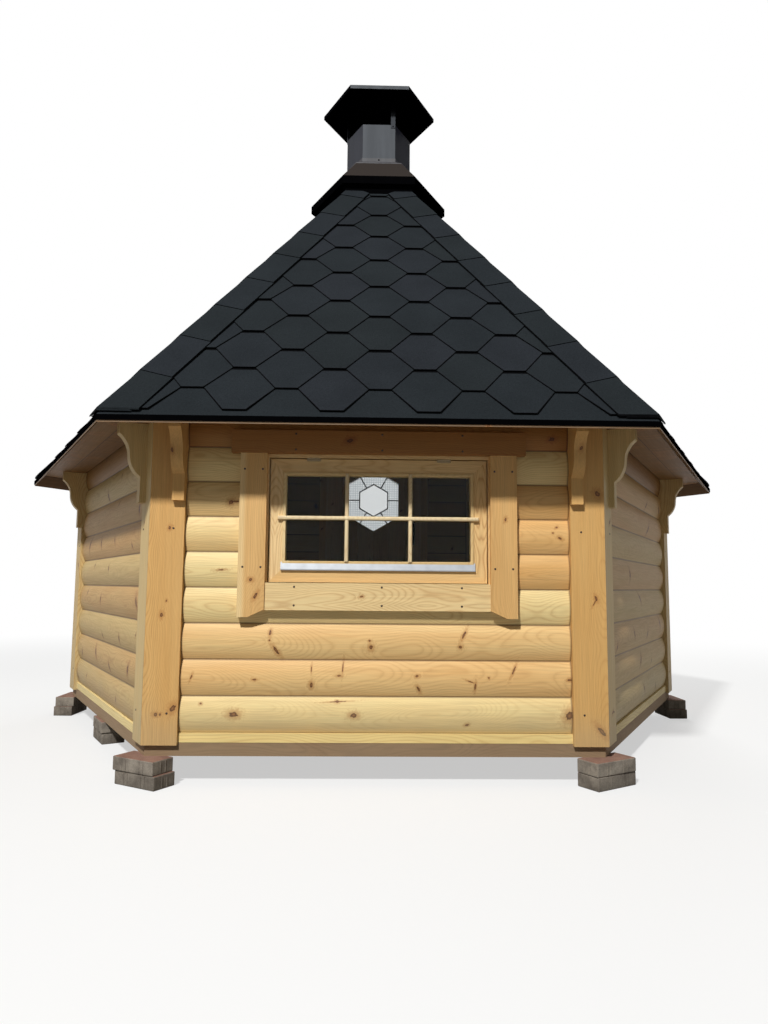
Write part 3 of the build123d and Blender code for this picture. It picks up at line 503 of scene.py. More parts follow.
    # Tone of the board, with slow patches
    patch_scaled = add(tree, "VectorMath", {0: fibre_place, 1: (1.6, 14.0, 14.0)}, operation="MULTIPLY")
    patches = add(tree, "TexNoise", {"Vector": patch_scaled, "Scale": 1.0, "Detail": 2.0})
    own_tone = tone_of(tree) if tone_of else thrown.outputs[0]
    tone = add(tree, "Math", {0: patches, 1: 0.75, 2: own_tone}, operation="MULTIPLY_ADD")
    tone_share = add(tree, "MapRange", {"Value": tone, "From Min": 0.15, "From Max": 1.5})
    base = add(tree, "ValToRGB", {"Fac": tone_share},
               stops=[(i / (len(tones) - 1), colour(code)) for i, code in enumerate(tones)])
    strong = add(tree, "MapRange", {"Value": thrown.outputs[1], "To Min": 0.55 * contrast,
                                    "To Max": 1.3 * contrast})
    line_share = add(tree, "Math", {0: lines, 1: strong}, operation="MULTIPLY")
    ringed = add(tree, "MixRGB", {"Fac": line_share, "Color1": base, "Color2": colour(late)})
    streak = add(tree, "MapRange", {"Value": fibre, "From Min": 0.3, "From Max": 0.75, "To Min": 1.06,
                                    "To Max": 0.86})
    streaked = add(tree, "MixRGB", {"Fac": 1.0, "Color1": ringed, "Color2": streak}, blend_type="MULTIPLY")
    haloed = add(tree, "MixRGB", {"Fac": halo, "Color1": streaked, "Color2": colour(late)})
    result = add(tree, "MixRGB", {"Fac": core, "Color1": haloed, "Color2": knot_tone})
    if joints:
        result = joints(tree, result)
    if stain_and_shade:
        result = stain_and_shade(tree, result)

    # Planed softwood: the fibres stand a little proud, so they take the light differently. Only they go
    # into the bump, because it works out its height three times, and the rings and knots are many nodes.
    bump = add(tree, "Bump", {"Strength": 0.35, "Distance": 0.001, "Height": fibre})
    sheen = add(tree, "MapRange", {"Value": fibre, "To Min": rough - 0.08, "To Max": rough + 0.14})
    links = tree.links
    links.new(result.outputs[0], shader.inputs["Base Color"])
    links.new(sheen.outputs[0], shader.inputs["Roughness"])
    links.new(bump.outputs[0], shader.inputs["Normal"])
    shader.inputs["IOR"].default_value = 1.5
    shader.inputs["Specular IOR Level"].default_value = 0.35
    return material


# %% [markdown]
# The walls are half-round logs, each planed from one trunk. A log's number comes from its row and its
# side, so no two have the same figure. Where two logs meet, the groove gathers shade and dust, which is
# drawn as a thin brown line that fades out of the groove. The lowest log and the strip under it catch
# splashes, so a faint grey veil rises from the ground. The side walls are painted darker and greyer than
# the front, as painted shade, and the top log under the eave is painted browner, as the eave's shade.

# %% Log walls
SOLE_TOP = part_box("sole_strips")[1].z
LOG_PITCH = 0.13265
LOGS_TO_EAVE = 8
LOG_CROWN = -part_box("front_wall_low")[0].y
LOG_TONES = ["#e9d8a0", "#e6ce92", "#e3c387", "#dfb679", "#d6a664"]
ROW_TONES = [0.22, 0.72, 0.66, 0.15, 0.05, 0.3, 0.45, 0.2, 0.6]
LOG_KNOTS = [(-524, 250, 15, 9, 0), (-85, 248, 12, 8, 0), (-146, 296, 6, 4, 0), (-146, 296, 34, 1.4, 3),
             (-646, 287, 4, 3, 0), (331, 215, 7, 4, 20), (712, 250, 16, 13, 60),
             (-683, 384, 9, 2.5, 70), (-452, 375, 6, 3, 0), (-243, 415, 10, 2, 88), (-243, 357, 9, 6, 80),
             (-127, 422, 17, 2, 86), (-140, 391, 8, 3, 0), (148, 391, 6, 4, 20), (153, 343, 10, 4, 118),
             (364, 355, 12, 3, 85), (345, 372, 12, 2, 160), (414, 386, 3, 3, 0), (508, 413, 18, 3, 64),
             (716, 380, 8, 4, 0), (-398, 545, 9, 4.5, 80), (-375, 482, 17, 5, 126), (-400, 518, 3, 3, 0),
             (-24, 494, 8, 7, 90), (-29, 519, 4, 3.5, 0), (322, 541, 16, 4, 62), (309, 498, 5.5, 5.5, 0),
             (-586, 777, 11, 2.5, 4), (-557, 1031, 9, 8, 30), (-540, 1034, 16, 3, 0), (676, 948, 5, 3, 40),
             (661, 927, 3, 3, 0), (688, 907, 8, 4, 150), (663, 1288, 11, 7, 20)]
POST_EDGE = 0.716
STUBS_FROM = 0.45
MIDDLE_STUB = 5.0           # the row in the middle of the window's height
WALL_JOINT = "#553819"


def log_row(tree, up_here):
    """How many logs up a point is, with a fraction."""
    rise = add(tree, "Math", {0: up_here, 1: SOLE_TOP}, operation="SUBTRACT")
    return add(tree, "Math", {0: rise, 1: LOG_PITCH}, operation="DIVIDE")


def in_a_log(tree):
    """Along, across and into a log, and the log's number."""
    along, out, up_here, side = along_out_up(tree)
    rows = log_row(tree, up_here)
    row = add(tree, "Math", {0: rows}, operation="FLOOR")
    within = add(tree, "Math", {0: rows, 1: row}, operation="SUBTRACT")
    centred = add(tree, "Math", {0: within, 1: 0.5}, operation="SUBTRACT")
    across = add(tree, "Math", {0: centred, 1: LOG_PITCH}, operation="MULTIPLY")
    depth = add(tree, "Math", {0: out, 1: LOG_CROWN}, operation="SUBTRACT")
    number = add(tree, "Math", {0: side, 1: 17.0, 2: row}, operation="MULTIPLY_ADD")
    halves = add(tree, "Math", {0: number, 1: 0.37, 2: 3.1}, operation="MULTIPLY_ADD")
    return along, across.outputs[0], depth.outputs[0], halves.outputs[0]


def log_joints(tree, base):
    """Shade and dust in the groove between two logs and beside the posts."""
    along, out, up_here, side = along_out_up(tree)
    within = add(tree, "Math", {0: log_row(tree, up_here)}, operation="FRACT")
    swing = add(tree, "Math", {0: within, 1: 0.5}, operation="SUBTRACT")
    far = add(tree, "Math", {0: swing}, operation="ABSOLUTE")
    near = add(tree, "MapRange", {"Value": far, "From Min": 0.455, "From Max": 0.497, "To Max": 0.75},
               interpolation_type="SMOOTHSTEP")
    wide = add(tree, "Math", {0: along}, operation="ABSOLUTE")
    at_post = add(tree, "MapRange", {"Value": wide, "From Min": POST_EDGE, "From Max": POST_EDGE + 0.0085,
                                     "To Max": 0.8}, interpolation_type="SMOOTHSTEP")
    gap = add(tree, "Math", {0: near, 1: at_post}, operation="MAXIMUM")
    return add(tree, "MixRGB", {"Fac": gap, "Color1": base, "Color2": colour(WALL_JOINT)})


def splash_veil(tree, base):
    """A faint grey veil near the ground."""
    up_here = along_out_up(tree)[2]
    here = add(tree, "TexCoord").outputs["Object"]
    blot = add(tree, "TexNoise", {"Vector": here, "Scale": 7.0, "Detail": 3.0})
    lifted = add(tree, "Math", {0: blot, 1: -0.22, 2: up_here}, operation="MULTIPLY_ADD")
    veil = add(tree, "MapRange", {"Value": lifted, "From Min": 0.0, "From Max": 0.24, "To Min": 0.32,
                                  "To Max": 0.0}, interpolation_type="SMOOTHSTEP")
    return add(tree, "MixRGB", {"Fac": veil, "Color1": base, "Color2": colour("#a3977a")})


def log_tone(tree):
    """Each row's own tone, in another order on each side. The stubs right of the window are orange."""
    along, out, up_here, side = along_out_up(tree)
    row = add(tree, "Math", {0: log_row(tree, up_here)}, operation="FLOOR")
    order = add(tree, "Math", {0: side, 1: 4.0, 2: row}, operation="MULTIPLY_ADD")
    middle = add(tree, "Math", {0: order, 1: 0.5}, operation="ADD")
    share = add(tree, "Math", {0: middle, 1: 1.0 / len(ROW_TONES)}, operation="MULTIPLY")
    within = add(tree, "Math", {0: share}, operation="FRACT")
    stops = [(i / len(ROW_TONES), (tone, tone, tone, 1)) for i, tone in enumerate(ROW_TONES)]
    ramp = add(tree, "ValToRGB", {"Fac": within}, stops=stops)
    ramp.color_ramp.interpolation = "CONSTANT"
    at_right = add(tree, "Math", {0: along, 1: STUBS_FROM}, operation="GREATER_THAN")
    beside_window = add(tree, "Math", {0: row, 1: MIDDLE_STUB, 2: 1.1}, operation="COMPARE")
    in_front = add(tree, "Math", {0: side, 1: 0.0, 2: 0.5}, operation="COMPARE")
    short = add(tree, "Math", {0: at_right, 1: beside_window}, operation="MULTIPLY")
    orange = add(tree, "Math", {0: short, 1: in_front}, operation="MULTIPLY")
    return add(tree, "Math", {0: orange, 1: ramp}, operation="MAXIMUM")


def weather_and_painted_shade(tree, base):
    """The splash veil, and painted shade: darker, greyer wood on the sides than in front, and a browner top
    row.
    """
    along, out, up_here, side = along_out_up(tree)
    at_side = add(tree, "Math", {0: side}, operation="ABSOLUTE")
    # Painted shade: walls off the front side are multiplied darker and greyer than the front.
    painted_side_shade = add(tree, "MixRGB", {"Fac": at_side, "Color1": base, "Color2": colour("#dad3c9")},
                 blend_type="MULTIPLY")
    # Painted shade of the eave: the top row of logs is multiplied browner.
    top = add(tree, "Math", {0: up_here, 1: SOLE_TOP + LOGS_TO_EAVE * LOG_PITCH}, operation="GREATER_THAN")
    painted_eave_shade = add(tree, "MixRGB", {"Fac": top, "Color1": painted_side_shade, "Color2": colour("#b1936c")},
                  blend_type="MULTIPLY")
    return splash_veil(tree, painted_eave_shade)


log_pine = pine("planed_pine_logs", in_a_log, LOG_TONES, joints=log_joints, stain_and_shade=weather_and_painted_shade,
                knots=LOG_KNOTS, tone_of=log_tone, contrast=0.25, ring=0.0048)
dress(log_pine, "front_wall_low", "front_wall_beside_window", "front_wall_high", "front_right_wall",
      "back_right_wall", "back_left_wall", "front_left_wall", "back_wall_beside_door")

# %% [markdown]
# Posts, brackets and door parts stand upright, so their grain runs up. Each post is glued from two boards,
# which shows as a thin line beside its corner. The line is drawn in the finish, because the glued joint
# has no width worth modelling. Of a post's two faces, one is honey coloured and the other paler.

# %% Posts and other upright pine
POST_FACE = 1.4809
POST_MIDDLE = 0.79
GLUED_AT = 0.8515
POST_TONES = ["#ccb682", "#d3b57a", "#d5ab6b", "#cb9c5a"]
POST_KNOTS = [(-797, 609, 9, 5, 80), (-781, 661, 4, 2.5, 80), (-779, 932, 7, 5, 80), (-805, 250, 7, 6, 0),
              (-789, 250, 4, 4, 0), (-744, 272, 14, 9, 60), (816, 682, 10, 5, 110), (812, 668, 14, 2, 60),
              (828, 196, 20, 7, 130), (830, 1076, 12, 9, 120), (752, 1240, 9, 5, 70),
              (-764, 1215, 10, 5, 100)]


def upright_board(tree):
    """Along, across and into an upright board, numbered by side and by the half it is on."""
    along, out, up_here, side = along_out_up(tree)
    half = add(tree, "Math", {0: along}, operation="SIGN")
    number = add(tree, "Math", {0: side, 1: 3.7, 2: half}, operation="MULTIPLY_ADD")
    seed = add(tree, "Math", {0: number, 1: 0.713, 2: 11.3}, operation="MULTIPLY_ADD")
    width = add(tree, "Math", {0: along}, operation="ABSOLUTE")
    across = add(tree, "Math", {0: width, 1: POST_MIDDLE}, operation="SUBTRACT")
    depth = add(tree, "Math", {0: out, 1: POST_FACE}, operation="SUBTRACT")
    return up_here, across.outputs[0], depth.outputs[0], seed.outputs[0]


def glued_corner(tree, base):
    """The thin line of the glued joint, at the post's corner on its paler board."""
    along, out, up_here, side = along_out_up(tree)
    odd = add(tree, "Math", {0: side, 1: 1.0}, operation="PINGPONG")
    wide = add(tree, "Math", {0: along}, operation="ABSOLUTE")
    from_joint = add(tree, "Math", {0: wide, 1: GLUED_AT}, operation="SUBTRACT")
    far = add(tree, "Math", {0: from_joint}, operation="ABSOLUTE")
    line = add(tree, "MapRange", {"Value": far, "From Min": 0.0008, "From Max": 0.0028, "To Min": 0.7,
                                  "To Max": 0.0})
    here = add(tree, "Math", {0: line, 1: odd}, operation="MULTIPLY")
    return add(tree, "MixRGB", {"Fac": here, "Color1": base, "Color2": colour("#6b451f")})


def post_tone(tree):
    """Of a post's two faces, one board is honey coloured and the other paler."""
    along, out, up_here, side = along_out_up(tree)
    odd = add(tree, "Math", {0: side, 1: 1.0}, operation="PINGPONG")
    return add(tree, "MapRange", {"Value": odd, "To Min": 0.9, "To Max": 0.0})


post_pine = pine("planed_pine_posts", upright_board, POST_TONES, joints=glued_corner, stain_and_shade=splash_veil,
                 knot_share=0.4, knot_size=0.8, contrast=0.4, heart_aside=0.075, ring=0.0046,
                 knots=POST_KNOTS, tone_of=post_tone)
dress(post_pine, "corner_posts", "eave_brackets")

# %% [markdown]
# The base beams and joists are brown pressure-treated pine, sawn and not planed. The sole strips above
# them are the palest wood on the hut. The soffit and the roof's inside are narrow planed spruce boards
# with a dark line where two boards meet. The soffit's tones are dark browns, as painted shade of the
# eave. The roof's boards are browner.

# %% Beams, strips and soffit
STRIP_MIDDLE = 0.14
SOFFIT_BOARD = 0.0925
SOFFIT_SHIFT = 0.11         # which part of a board lies over the hut's centre
ROOF_PANELS = ["roof_front", "roof_front_right", "roof_back_right", "roof_back", "roof_back_left",
               "roof_front_left"]


def soffit_count(tree, out):
    """How many soffit boards out from the centre a point is, with a fraction."""
    boards = add(tree, "Math", {0: out, 1: SOFFIT_BOARD}, operation="DIVIDE")
    return add(tree, "Math", {0: boards, 1: SOFFIT_SHIFT}, operation="ADD")


def lying_board(tree):
    """A board that lies along its wall, numbered outwards."""
    along, out, up_here, side = along_out_up(tree)
    boards = soffit_count(tree, out)
    board = add(tree, "Math", {0: boards}, operation="FLOOR")
    within = add(tree, "Math", {0: boards, 1: board}, operation="SUBTRACT")
    centred = add(tree, "Math", {0: within, 1: 0.5}, operation="SUBTRACT")
    across = add(tree, "Math", {0: centred, 1: SOFFIT_BOARD}, operation="MULTIPLY")
    number = add(tree, "Math", {0: side, 1: 5.3, 2: board}, operation="MULTIPLY_ADD")
    seed = add(tree, "Math", {0: number, 1: 0.731}, operation="MULTIPLY")
    return along, across.outputs[0], up_here, seed.outputs[0]


def strip_edge(tree):
    """A strip seen on its edge: along the wall, up, and outwards."""
    along, out, up_here, side = along_out_up(tree)
    seed = add(tree, "Math", {0: side, 1: 0.517, 2: 4.1}, operation="MULTIPLY_ADD")
    across = add(tree, "Math", {0: up_here, 1: STRIP_MIDDLE}, operation="SUBTRACT")
    depth = add(tree, "Math", {0: out, 1: POST_FACE}, operation="SUBTRACT")
    return along, across.outputs[0], depth.outputs[0], seed.outputs[0]


def soffit_joints(tree, base):
    """The dark line where two soffit boards meet."""
    along, out, up_here, side = along_out_up(tree)
    within = add(tree, "Math", {0: soffit_count(tree, out)}, operation="FRACT")
    swing = add(tree, "Math", {0: within, 1: 0.5}, operation="SUBTRACT")
    far = add(tree, "Math", {0: swing}, operation="ABSOLUTE")
    near = add(tree, "MapRange", {"Value": far, "From Min": 0.468, "From Max": 0.49, "To Max": 0.8})
    return add(tree, "MixRGB", {"Fac": near, "Color1": base, "Color2": colour("#3d2812")})


treated_pine = pine("brown_treated_pine", strip_edge, ["#97765a", "#8c6a4c", "#7d5d40"], late="#5c4028",
                    knot="#3a2616", knot_share=0.3, rough=0.75, stain_and_shade=splash_veil, contrast=0.35)
sole_pine = pine("planed_pine_strips", strip_edge, ["#f0dca0", "#ecd391", "#e3c57d"], knot_share=0.35,
                 knot_size=0.8, contrast=0.25, board_width=0.05)
# Painted shade: the soffit's tones are dark browns that stand for the eave's shade.
shaded_soffit_pine = pine("planed_spruce_boards", lying_board, ["#866539", "#7a582e", "#6e4c24"],
                   joints=soffit_joints, knot_share=0.5, knot_size=0.7, board_width=SOFFIT_BOARD)
roof_pine = pine("weathered_roof_boards", lying_board, ["#75614a", "#6b5740", "#604c36"],
                 joints=soffit_joints, knot_share=0.4, knot_size=0.7, board_width=SOFFIT_BOARD)
dress(treated_pine, "base_beams", "floor_joists")
dress(sole_pine, "sole_strips")
dress(shaded_soffit_pine, "soffit_boards")
dress(roof_pine, "dormer_roof", *ROOF_PANELS)

# %% [markdown]
# The window and door are framed in the same pine, in upright and level boards. One place function tells
# them apart with a rule for each frame: a point belongs to an upright board where a test on its distance
# from the middle says so. The sash is mitred, so its rule is a diagonal.

# %% Frames and casings
SASH_MIDDLE = 0.9667
SASH_HALF_WIDTH = 0.411
SASH_HALF_HEIGHT = 0.2335
CASING_INNER = 0.4199
HEAD_BOTTOM = 1.2161
TRIM_FOLD = 0.13
DOOR_BOARD = 0.1233
TRIM_TONES = ["#e6ce98", "#dfbf87", "#d9b174", "#d0a263"]
CASING_KNOTS = [(-471, 741, 7, 6, 0), (-452, 682, 12, 5, 60), (476, 973, 7, 4, 80), (-111, 1265, 12, 8, 20),
                (-60, 682, 6, 3, 10)]


def framed(tree, upright, extra):
    """Grain that runs up where upright is 1 and along the wall where it is 0."""
    along, out, up_here, side = along_out_up(tree)
    level_here = add(tree, "CombineXYZ", {0: along, 1: up_here, 2: out})
    upright_here = add(tree, "CombineXYZ", {0: up_here, 1: along, 2: out})
    place = add(tree, "MixRGB", {"Fac": upright, "Color1": level_here, "Color2": upright_here})
    parts = add(tree, "SeparateXYZ", {0: place})
    half = add(tree, "Math", {0: parts.outputs["Y"], 1: SASH_MIDDLE * 0.9}, operation="SUBTRACT")
    sign = add(tree, "Math", {0: half}, operation="SIGN")
    left = add(tree, "Math", {0: along}, operation="SIGN")
    hand = add(tree, "Math", {0: left, 1: upright}, operation="MULTIPLY")
    pair = add(tree, "Math", {0: sign, 1: 2.7, 2: hand}, operation="MULTIPLY_ADD")
    seed = add(tree, "Math", {0: pair, 1: 1.37, 2: extra}, operation="MULTIPLY_ADD")
    folded = add(tree, "Math", {0: parts.outputs["Y"], 1: TRIM_FOLD}, operation="PINGPONG")
    across = add(tree, "Math", {0: folded, 1: TRIM_FOLD / 2}, operation="SUBTRACT")
    depth = add(tree, "Math", {0: parts.outputs["Z"], 1: LOG_CROWN}, operation="SUBTRACT")
    return parts.outputs["X"], across.outputs[0], depth.outputs[0], seed.outputs[0]


def beside_window(tree):
    """1 on the side casings, and 0 on the head board and the apron."""
    along, out, up_here, side = along_out_up(tree)
    wide = add(tree, "Math", {0: along}, operation="ABSOLUTE")
    outside = add(tree, "Math", {0: wide, 1: CASING_INNER}, operation="GREATER_THAN")
    low = add(tree, "Math", {0: up_here, 1: HEAD_BOTTOM}, operation="LESS_THAN")
    return add(tree, "Math", {0: outside, 1: low}, operation="MULTIPLY").outputs[0]


def casing_board(tree):
    """Side casings stand; the head board and the apron lie."""
    return framed(tree, beside_window(tree), 2.3)


def sash_board(tree):
    """The sash is mitred: a point is on a stile where it is nearer to the side than to the top."""
    along, out, up_here, side = along_out_up(tree)
    wide = add(tree, "Math", {0: along}, operation="ABSOLUTE")
    sideways = add(tree, "Math", {0: SASH_HALF_WIDTH, 1: wide}, operation="SUBTRACT")
    height = add(tree, "Math", {0: up_here, 1: SASH_MIDDLE}, operation="SUBTRACT")
    tall = add(tree, "Math", {0: height}, operation="ABSOLUTE")
    upwards = add(tree, "Math", {0: SASH_HALF_HEIGHT, 1: tall}, operation="SUBTRACT")
    stands = add(tree, "Math", {0: sideways, 1: upwards}, operation="LESS_THAN")
    return framed(tree, stands.outputs[0], 5.9)


def upright_trim(tree):
    """Boards of the door, numbered by their place across it."""
    along, out, up_here, side = along_out_up(tree)
    boards = add(tree, "Math", {0: along, 1: DOOR_BOARD}, operation="DIVIDE")
    board = add(tree, "Math", {0: boards}, operation="FLOOR")
    within = add(tree, "Math", {0: boards, 1: board}, operation="SUBTRACT")
    centred = add(tree, "Math", {0: within, 1: 0.5}, operation="SUBTRACT")
    across = add(tree, "Math", {0: centred, 1: DOOR_BOARD}, operation="MULTIPLY")
    seed = add(tree, "Math", {0: board, 1: 0.619, 2: 8.7}, operation="MULTIPLY_ADD")
    depth = add(tree, "Math", {0: out, 1: LOG_CROWN}, operation="SUBTRACT")
    return up_here, across.outputs[0], depth.outputs[0], seed.outputs[0]


def casing_tone(tree):
    """Side casings are honey coloured, with a pale outer edge at the left, and the apron is pale."""
    along, out, up_here, side = along_out_up(tree)
    honey = add(tree, "MapRange", {"Value": along, "From Min": -0.506, "From Max": -0.49, "To Min": 0.12,
                                   "To Max": 0.94})
    return add(tree, "Math", {0: beside_window(tree), 1: honey}, operation="MULTIPLY")


def head_board_painted_shade(tree, base):
    """Painted shade of the eave: the head board, close under it, is multiplied to the brownest board of the
    window.
    """
    high = add(tree, "Math", {0: along_out_up(tree)[2], 1: HEAD_BOTTOM}, operation="GREATER_THAN")
    # Painted shade: a brown multiply on everything above the head board's lower edge.
    return add(tree, "MixRGB", {"Fac": high, "Color1": base, "Color2": colour("#a5825b")},
               blend_type="MULTIPLY")


casing_pine = pine("planed_pine_casings", casing_board, TRIM_TONES, contrast=0.4, heart_aside=0.045,
                   ring=0.0048, knots=CASING_KNOTS, tone_of=casing_tone, stain_and_shade=head_board_painted_shade)
sash_pine = pine("planed_pine_sash", sash_board, ["#e8cd9b", "#e2c28a", "#dab579"], knot_share=0.0,
                 contrast=0.5, ring=0.0048, heart_aside=0.07)
door_pine = pine("planed_pine_door", upright_trim, TRIM_TONES, knot_share=0.35, knot_size=0.7, contrast=0.5,
                 board_width=0.12)
dress(casing_pine, "window_casings", "dormer_front")
dress(sash_pine, "window_sash", "window_frame")
dress(door_pine, "door_frame", "door_casings", "door_threshold", "door_beads", "dormer_cheeks")

# %% [markdown]
# The roof is covered with bitumen shingles. Their face is crushed slate, which is dull and slightly uneven,
# and their cut edge is bare black bitumen. Slate grit is about 1 mm, too fine for this camera, so it is
# drawn at 4 mm. Every tab gets a number for its own shade when it is laid.

# %% Bitumen shingle finishes
GRIT = 0.004

shingle_grit, tree, shader = new_finish("slate_faced_bitumen")
here = add(tree, "TexCoord").outputs["Object"]
tab_shade = add(tree, "Attribute", attribute_name="shade")
slate = add(tree, "ValToRGB", {"Fac": tab_shade.outputs["Fac"]},
            stops=[(0.0, colour("#202426")), (0.5, colour("#212528")), (1.0, colour("#23262a"))])
grit = add(tree, "TexNoise", {"Vector": here, "Scale": 1 / GRIT, "Detail": 2.0, "Roughness": 0.7})
grit_share = add(tree, "MapRange", {"Value": grit, "From Min": 0.3, "From Max": 0.7, "To Min": 0.72,
                                    "To Max": 1.3})
speckled = add(tree, "MixRGB", {"Fac": 1.0, "Color1": slate, "Color2": grit_share}, blend_type="MULTIPLY")
cloud = add(tree, "TexNoise", {"Vector": here, "Scale": 5.0, "Detail": 3.0})
cloud_share = add(tree, "MapRange", {"Value": cloud, "From Min": 0.3, "From Max": 0.7, "To Min": 0.9,
                                     "To Max": 1.1})
clouded = add(tree, "MixRGB", {"Fac": 1.0, "Color1": speckled, "Color2": cloud_share}, blend_type="MULTIPLY")
tree.links.new(clouded.outputs[0], shader.inputs["Base Color"])
shader.inputs["Roughness"].default_value = 0.9
shader.inputs["Specular IOR Level"].default_value = 0.03
bump = add(tree, "Bump", {"Strength": 0.5, "Distance": 0.0012, "Height": grit})
tree.links.new(bump.outputs[0], shader.inputs["Normal"])

bitumen_and_painted_shadow, tree, shader = new_finish("bitumen_edge_and_painted_shadow")
here = add(tree, "TexCoord").outputs["Object"]
crumbs = add(tree, "TexNoise", {"Vector": here, "Scale": 140.0, "Detail": 2.0})
black = add(tree, "ValToRGB", {"Fac": crumbs}, stops=[(0.3, colour("#060607")), (0.75, colour("#0d0e0f"))])
tree.links.new(black.outputs[0], shader.inputs["Base Color"])
shader.inputs["Roughness"].default_value = 0.9
shader.inputs["Specular IOR Level"].default_value = 0.02


def coated(piece, is_black):
    """Slate on the face, and black bitumen where the test on a polygon says so: on cut edges, and on the rim
    and band that paint shadow.
    """
    piece.data.materials.append(shingle_grit)
    piece.data.materials.append(bitumen_and_painted_shadow)
    for polygon in piece.data.polygons:
        polygon.material_index = 1 if is_black(polygon) else 0


# %% [markdown]
# A shingle tab looks like a hexagon with a level lower edge. It can be modelled as a circle with six
# vertices: stretched to size, its lower edge drawn in, its upper edge widened and pushed up under the next
# rows. It gets its thickness by an extrusion. An inset marks a black rim round the tab's face, and a cut
# near the upper end marks a black band just under the next tab: both are painted shadow, which darkens the
# lines between the tabs. Last, the tab is tilted by two thicknesses over two rows, so each row rests on the
# one below and shows a real step.

# %% One shingle tab
PITCH = math.radians(49.17)
EAVE_FACE = -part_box("drip_edges")[0].y
EAVE_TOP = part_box("drip_edges")[1].z
DECK_DROP = 0.0061          # the boards' top lies this far under the finished surface
TAB_PITCH = 0.342
TAB_ROW = 0.1368
TAB_FLAT = 0.084
TAB_WIDE = TAB_PITCH - TAB_FLAT
TAB_LAP = 0.012
TAB_THICKNESS = 0.0036
TAB_LIFT = 3 * TAB_THICKNESS    # top of the lower edge over the boards, with two more tabs under it
# Painted shadow: a black rim round each tab's face, and a black band under the next tab's edge.
SHADE_RIM = 0.003
SHADOW_BAND_FROM = 2 * TAB_ROW - 0.009
SMALLEST_FACE = 0.0015      # square metres; the rim's strips are smaller, the tab's face is larger

tab = hexagon(TAB_WIDE / 2, rotation=(0, 0, TURN / 2))
regular_half = TAB_WIDE / 2 * math.cos(TURN / 2)
bpy.ops.transform.resize(value=(1, TAB_ROW / regular_half, 1))
pick(tab, "verts", lambda middle, vert: middle.y < -0.01)
bpy.ops.transform.resize(value=(TAB_FLAT / (TAB_WIDE / 2), 1, 1), center_override=(0, 0, 0))
pick(tab, "verts", lambda middle, vert: middle.y > 0.01)
bpy.ops.transform.resize(value=(2, 1, 1), center_override=(0, 0, 0))
bpy.ops.transform.translate(value=(0, TAB_LAP, 0))
bpy.ops.mesh.select_all(action="SELECT")
bpy.ops.transform.translate(value=(0, TAB_ROW, 0))
extrude((0, 0, TAB_THICKNESS))
pick(tab, "faces", lambda middle, face: middle.z > 0.9 * TAB_THICKNESS)
bpy.ops.mesh.inset(thickness=SHADE_RIM, depth=0)
bpy.ops.mesh.select_all(action="SELECT")
bpy.ops.mesh.bisect(plane_co=(0, SHADOW_BAND_FROM, 0), plane_no=(0, 1, 0))
close()
# Cut edges are bare bitumen; the rim and the band under the next tab are painted shadow in the same black.
coated(tab, lambda face: abs(face.normal.z) < 0.5 or face.area < SMALLEST_FACE or face.center.y > SHADOW_BAND_FROM)
tilt = math.atan(TAB_THICKNESS / TAB_ROW)
tab.data.transform(Matrix.Translation((0, 2 * TAB_ROW, 0)) @ Matrix.Rotation(-tilt, 4, "X")
                   @ Matrix.Translation((0, -2 * TAB_ROW, 0)))
print("tab:", [round(v, 4) for v in tab.dimensions])

# %% [markdown]
# Rows of tabs are laid on a flat drawing of one roof side, half a tab to the side in every second row.
# The whole is cut along the two hips, at the eave and under the crown, then tilted to the roof's pitch.
# Five turned copies cover the other sides. The back side first loses the part where the dormer stands.

# %% Lay one side and turn it
SLOPE_LENGTH = EAVE_FACE / math.cos(PITCH)
EAVE_HALF = EAVE_FACE * math.tan(TURN / 2)
CROWN_FACE = 0.3265
ROW_COUNT = 16
FIRST_ROW = 0.033
DORMER_CUT = 0.449
DORMER_TOP_CUT = 0.79
BACK_SIDE = 3
FRONTWARDS = Vector((0, -1, 0))
laying = random.Random(11)


def shaded(piece, value):
    """Stores one number for the shade of a whole tab on its faces."""
    layer = piece.data.attributes.new("shade", "FLOAT", "FACE")
    layer.data.foreach_set("value", [value] * len(piece.data.polygons))
    return piece


def lay_rows(rows, half_width_at, first):
    """Copies of the tab in staggered rows, as wide as the roof is at each row."""
    laid = []
    for row in range(rows):
        rise = first + row * TAB_ROW
        half = half_width_at(rise)
        stagger = TAB_PITCH / 2 if row % 2 == 0 else 0.0
        columns = int((half + TAB_WIDE) / TAB_PITCH) + 1
        for column in range(-columns, columns + 1):
            x = column * TAB_PITCH + stagger
            if abs(x) - TAB_WIDE / 2 < half:
                laid.append(shaded(twin(tab, Matrix.Translation((x, rise, 0))), laying.random()))
    return joined(laid)


def starter(width, length):
    """The plain strip under the first row."""
    strip = slab((-width, 0, 0.0004), (width, length, 0.0028))
    coated(strip, lambda face: face.normal.y < -0.5)
    return shaded(strip, 0.35)


side_panel = lay_rows(ROW_COUNT, lambda rise: EAVE_HALF * (1 - rise / SLOPE_LENGTH), FIRST_ROW)
side_panel = joined([side_panel, starter(EAVE_HALF, FIRST_ROW + TAB_ROW + 0.02)])
for hand in (-1, 1):
    cut(side_panel, (hand * EAVE_HALF, 0, 0), (hand * SLOPE_LENGTH, EAVE_HALF, 0))
cut(side_panel, (0, (EAVE_FACE - CROWN_FACE) / math.cos(PITCH), 0), (0, 1, 0))
cut(side_panel, (0, 0.001, 0), (0, -math.cos(PITCH), math.sin(PITCH)))
print("tabs laid on one side:", len(side_panel.data.polygons), "faces")

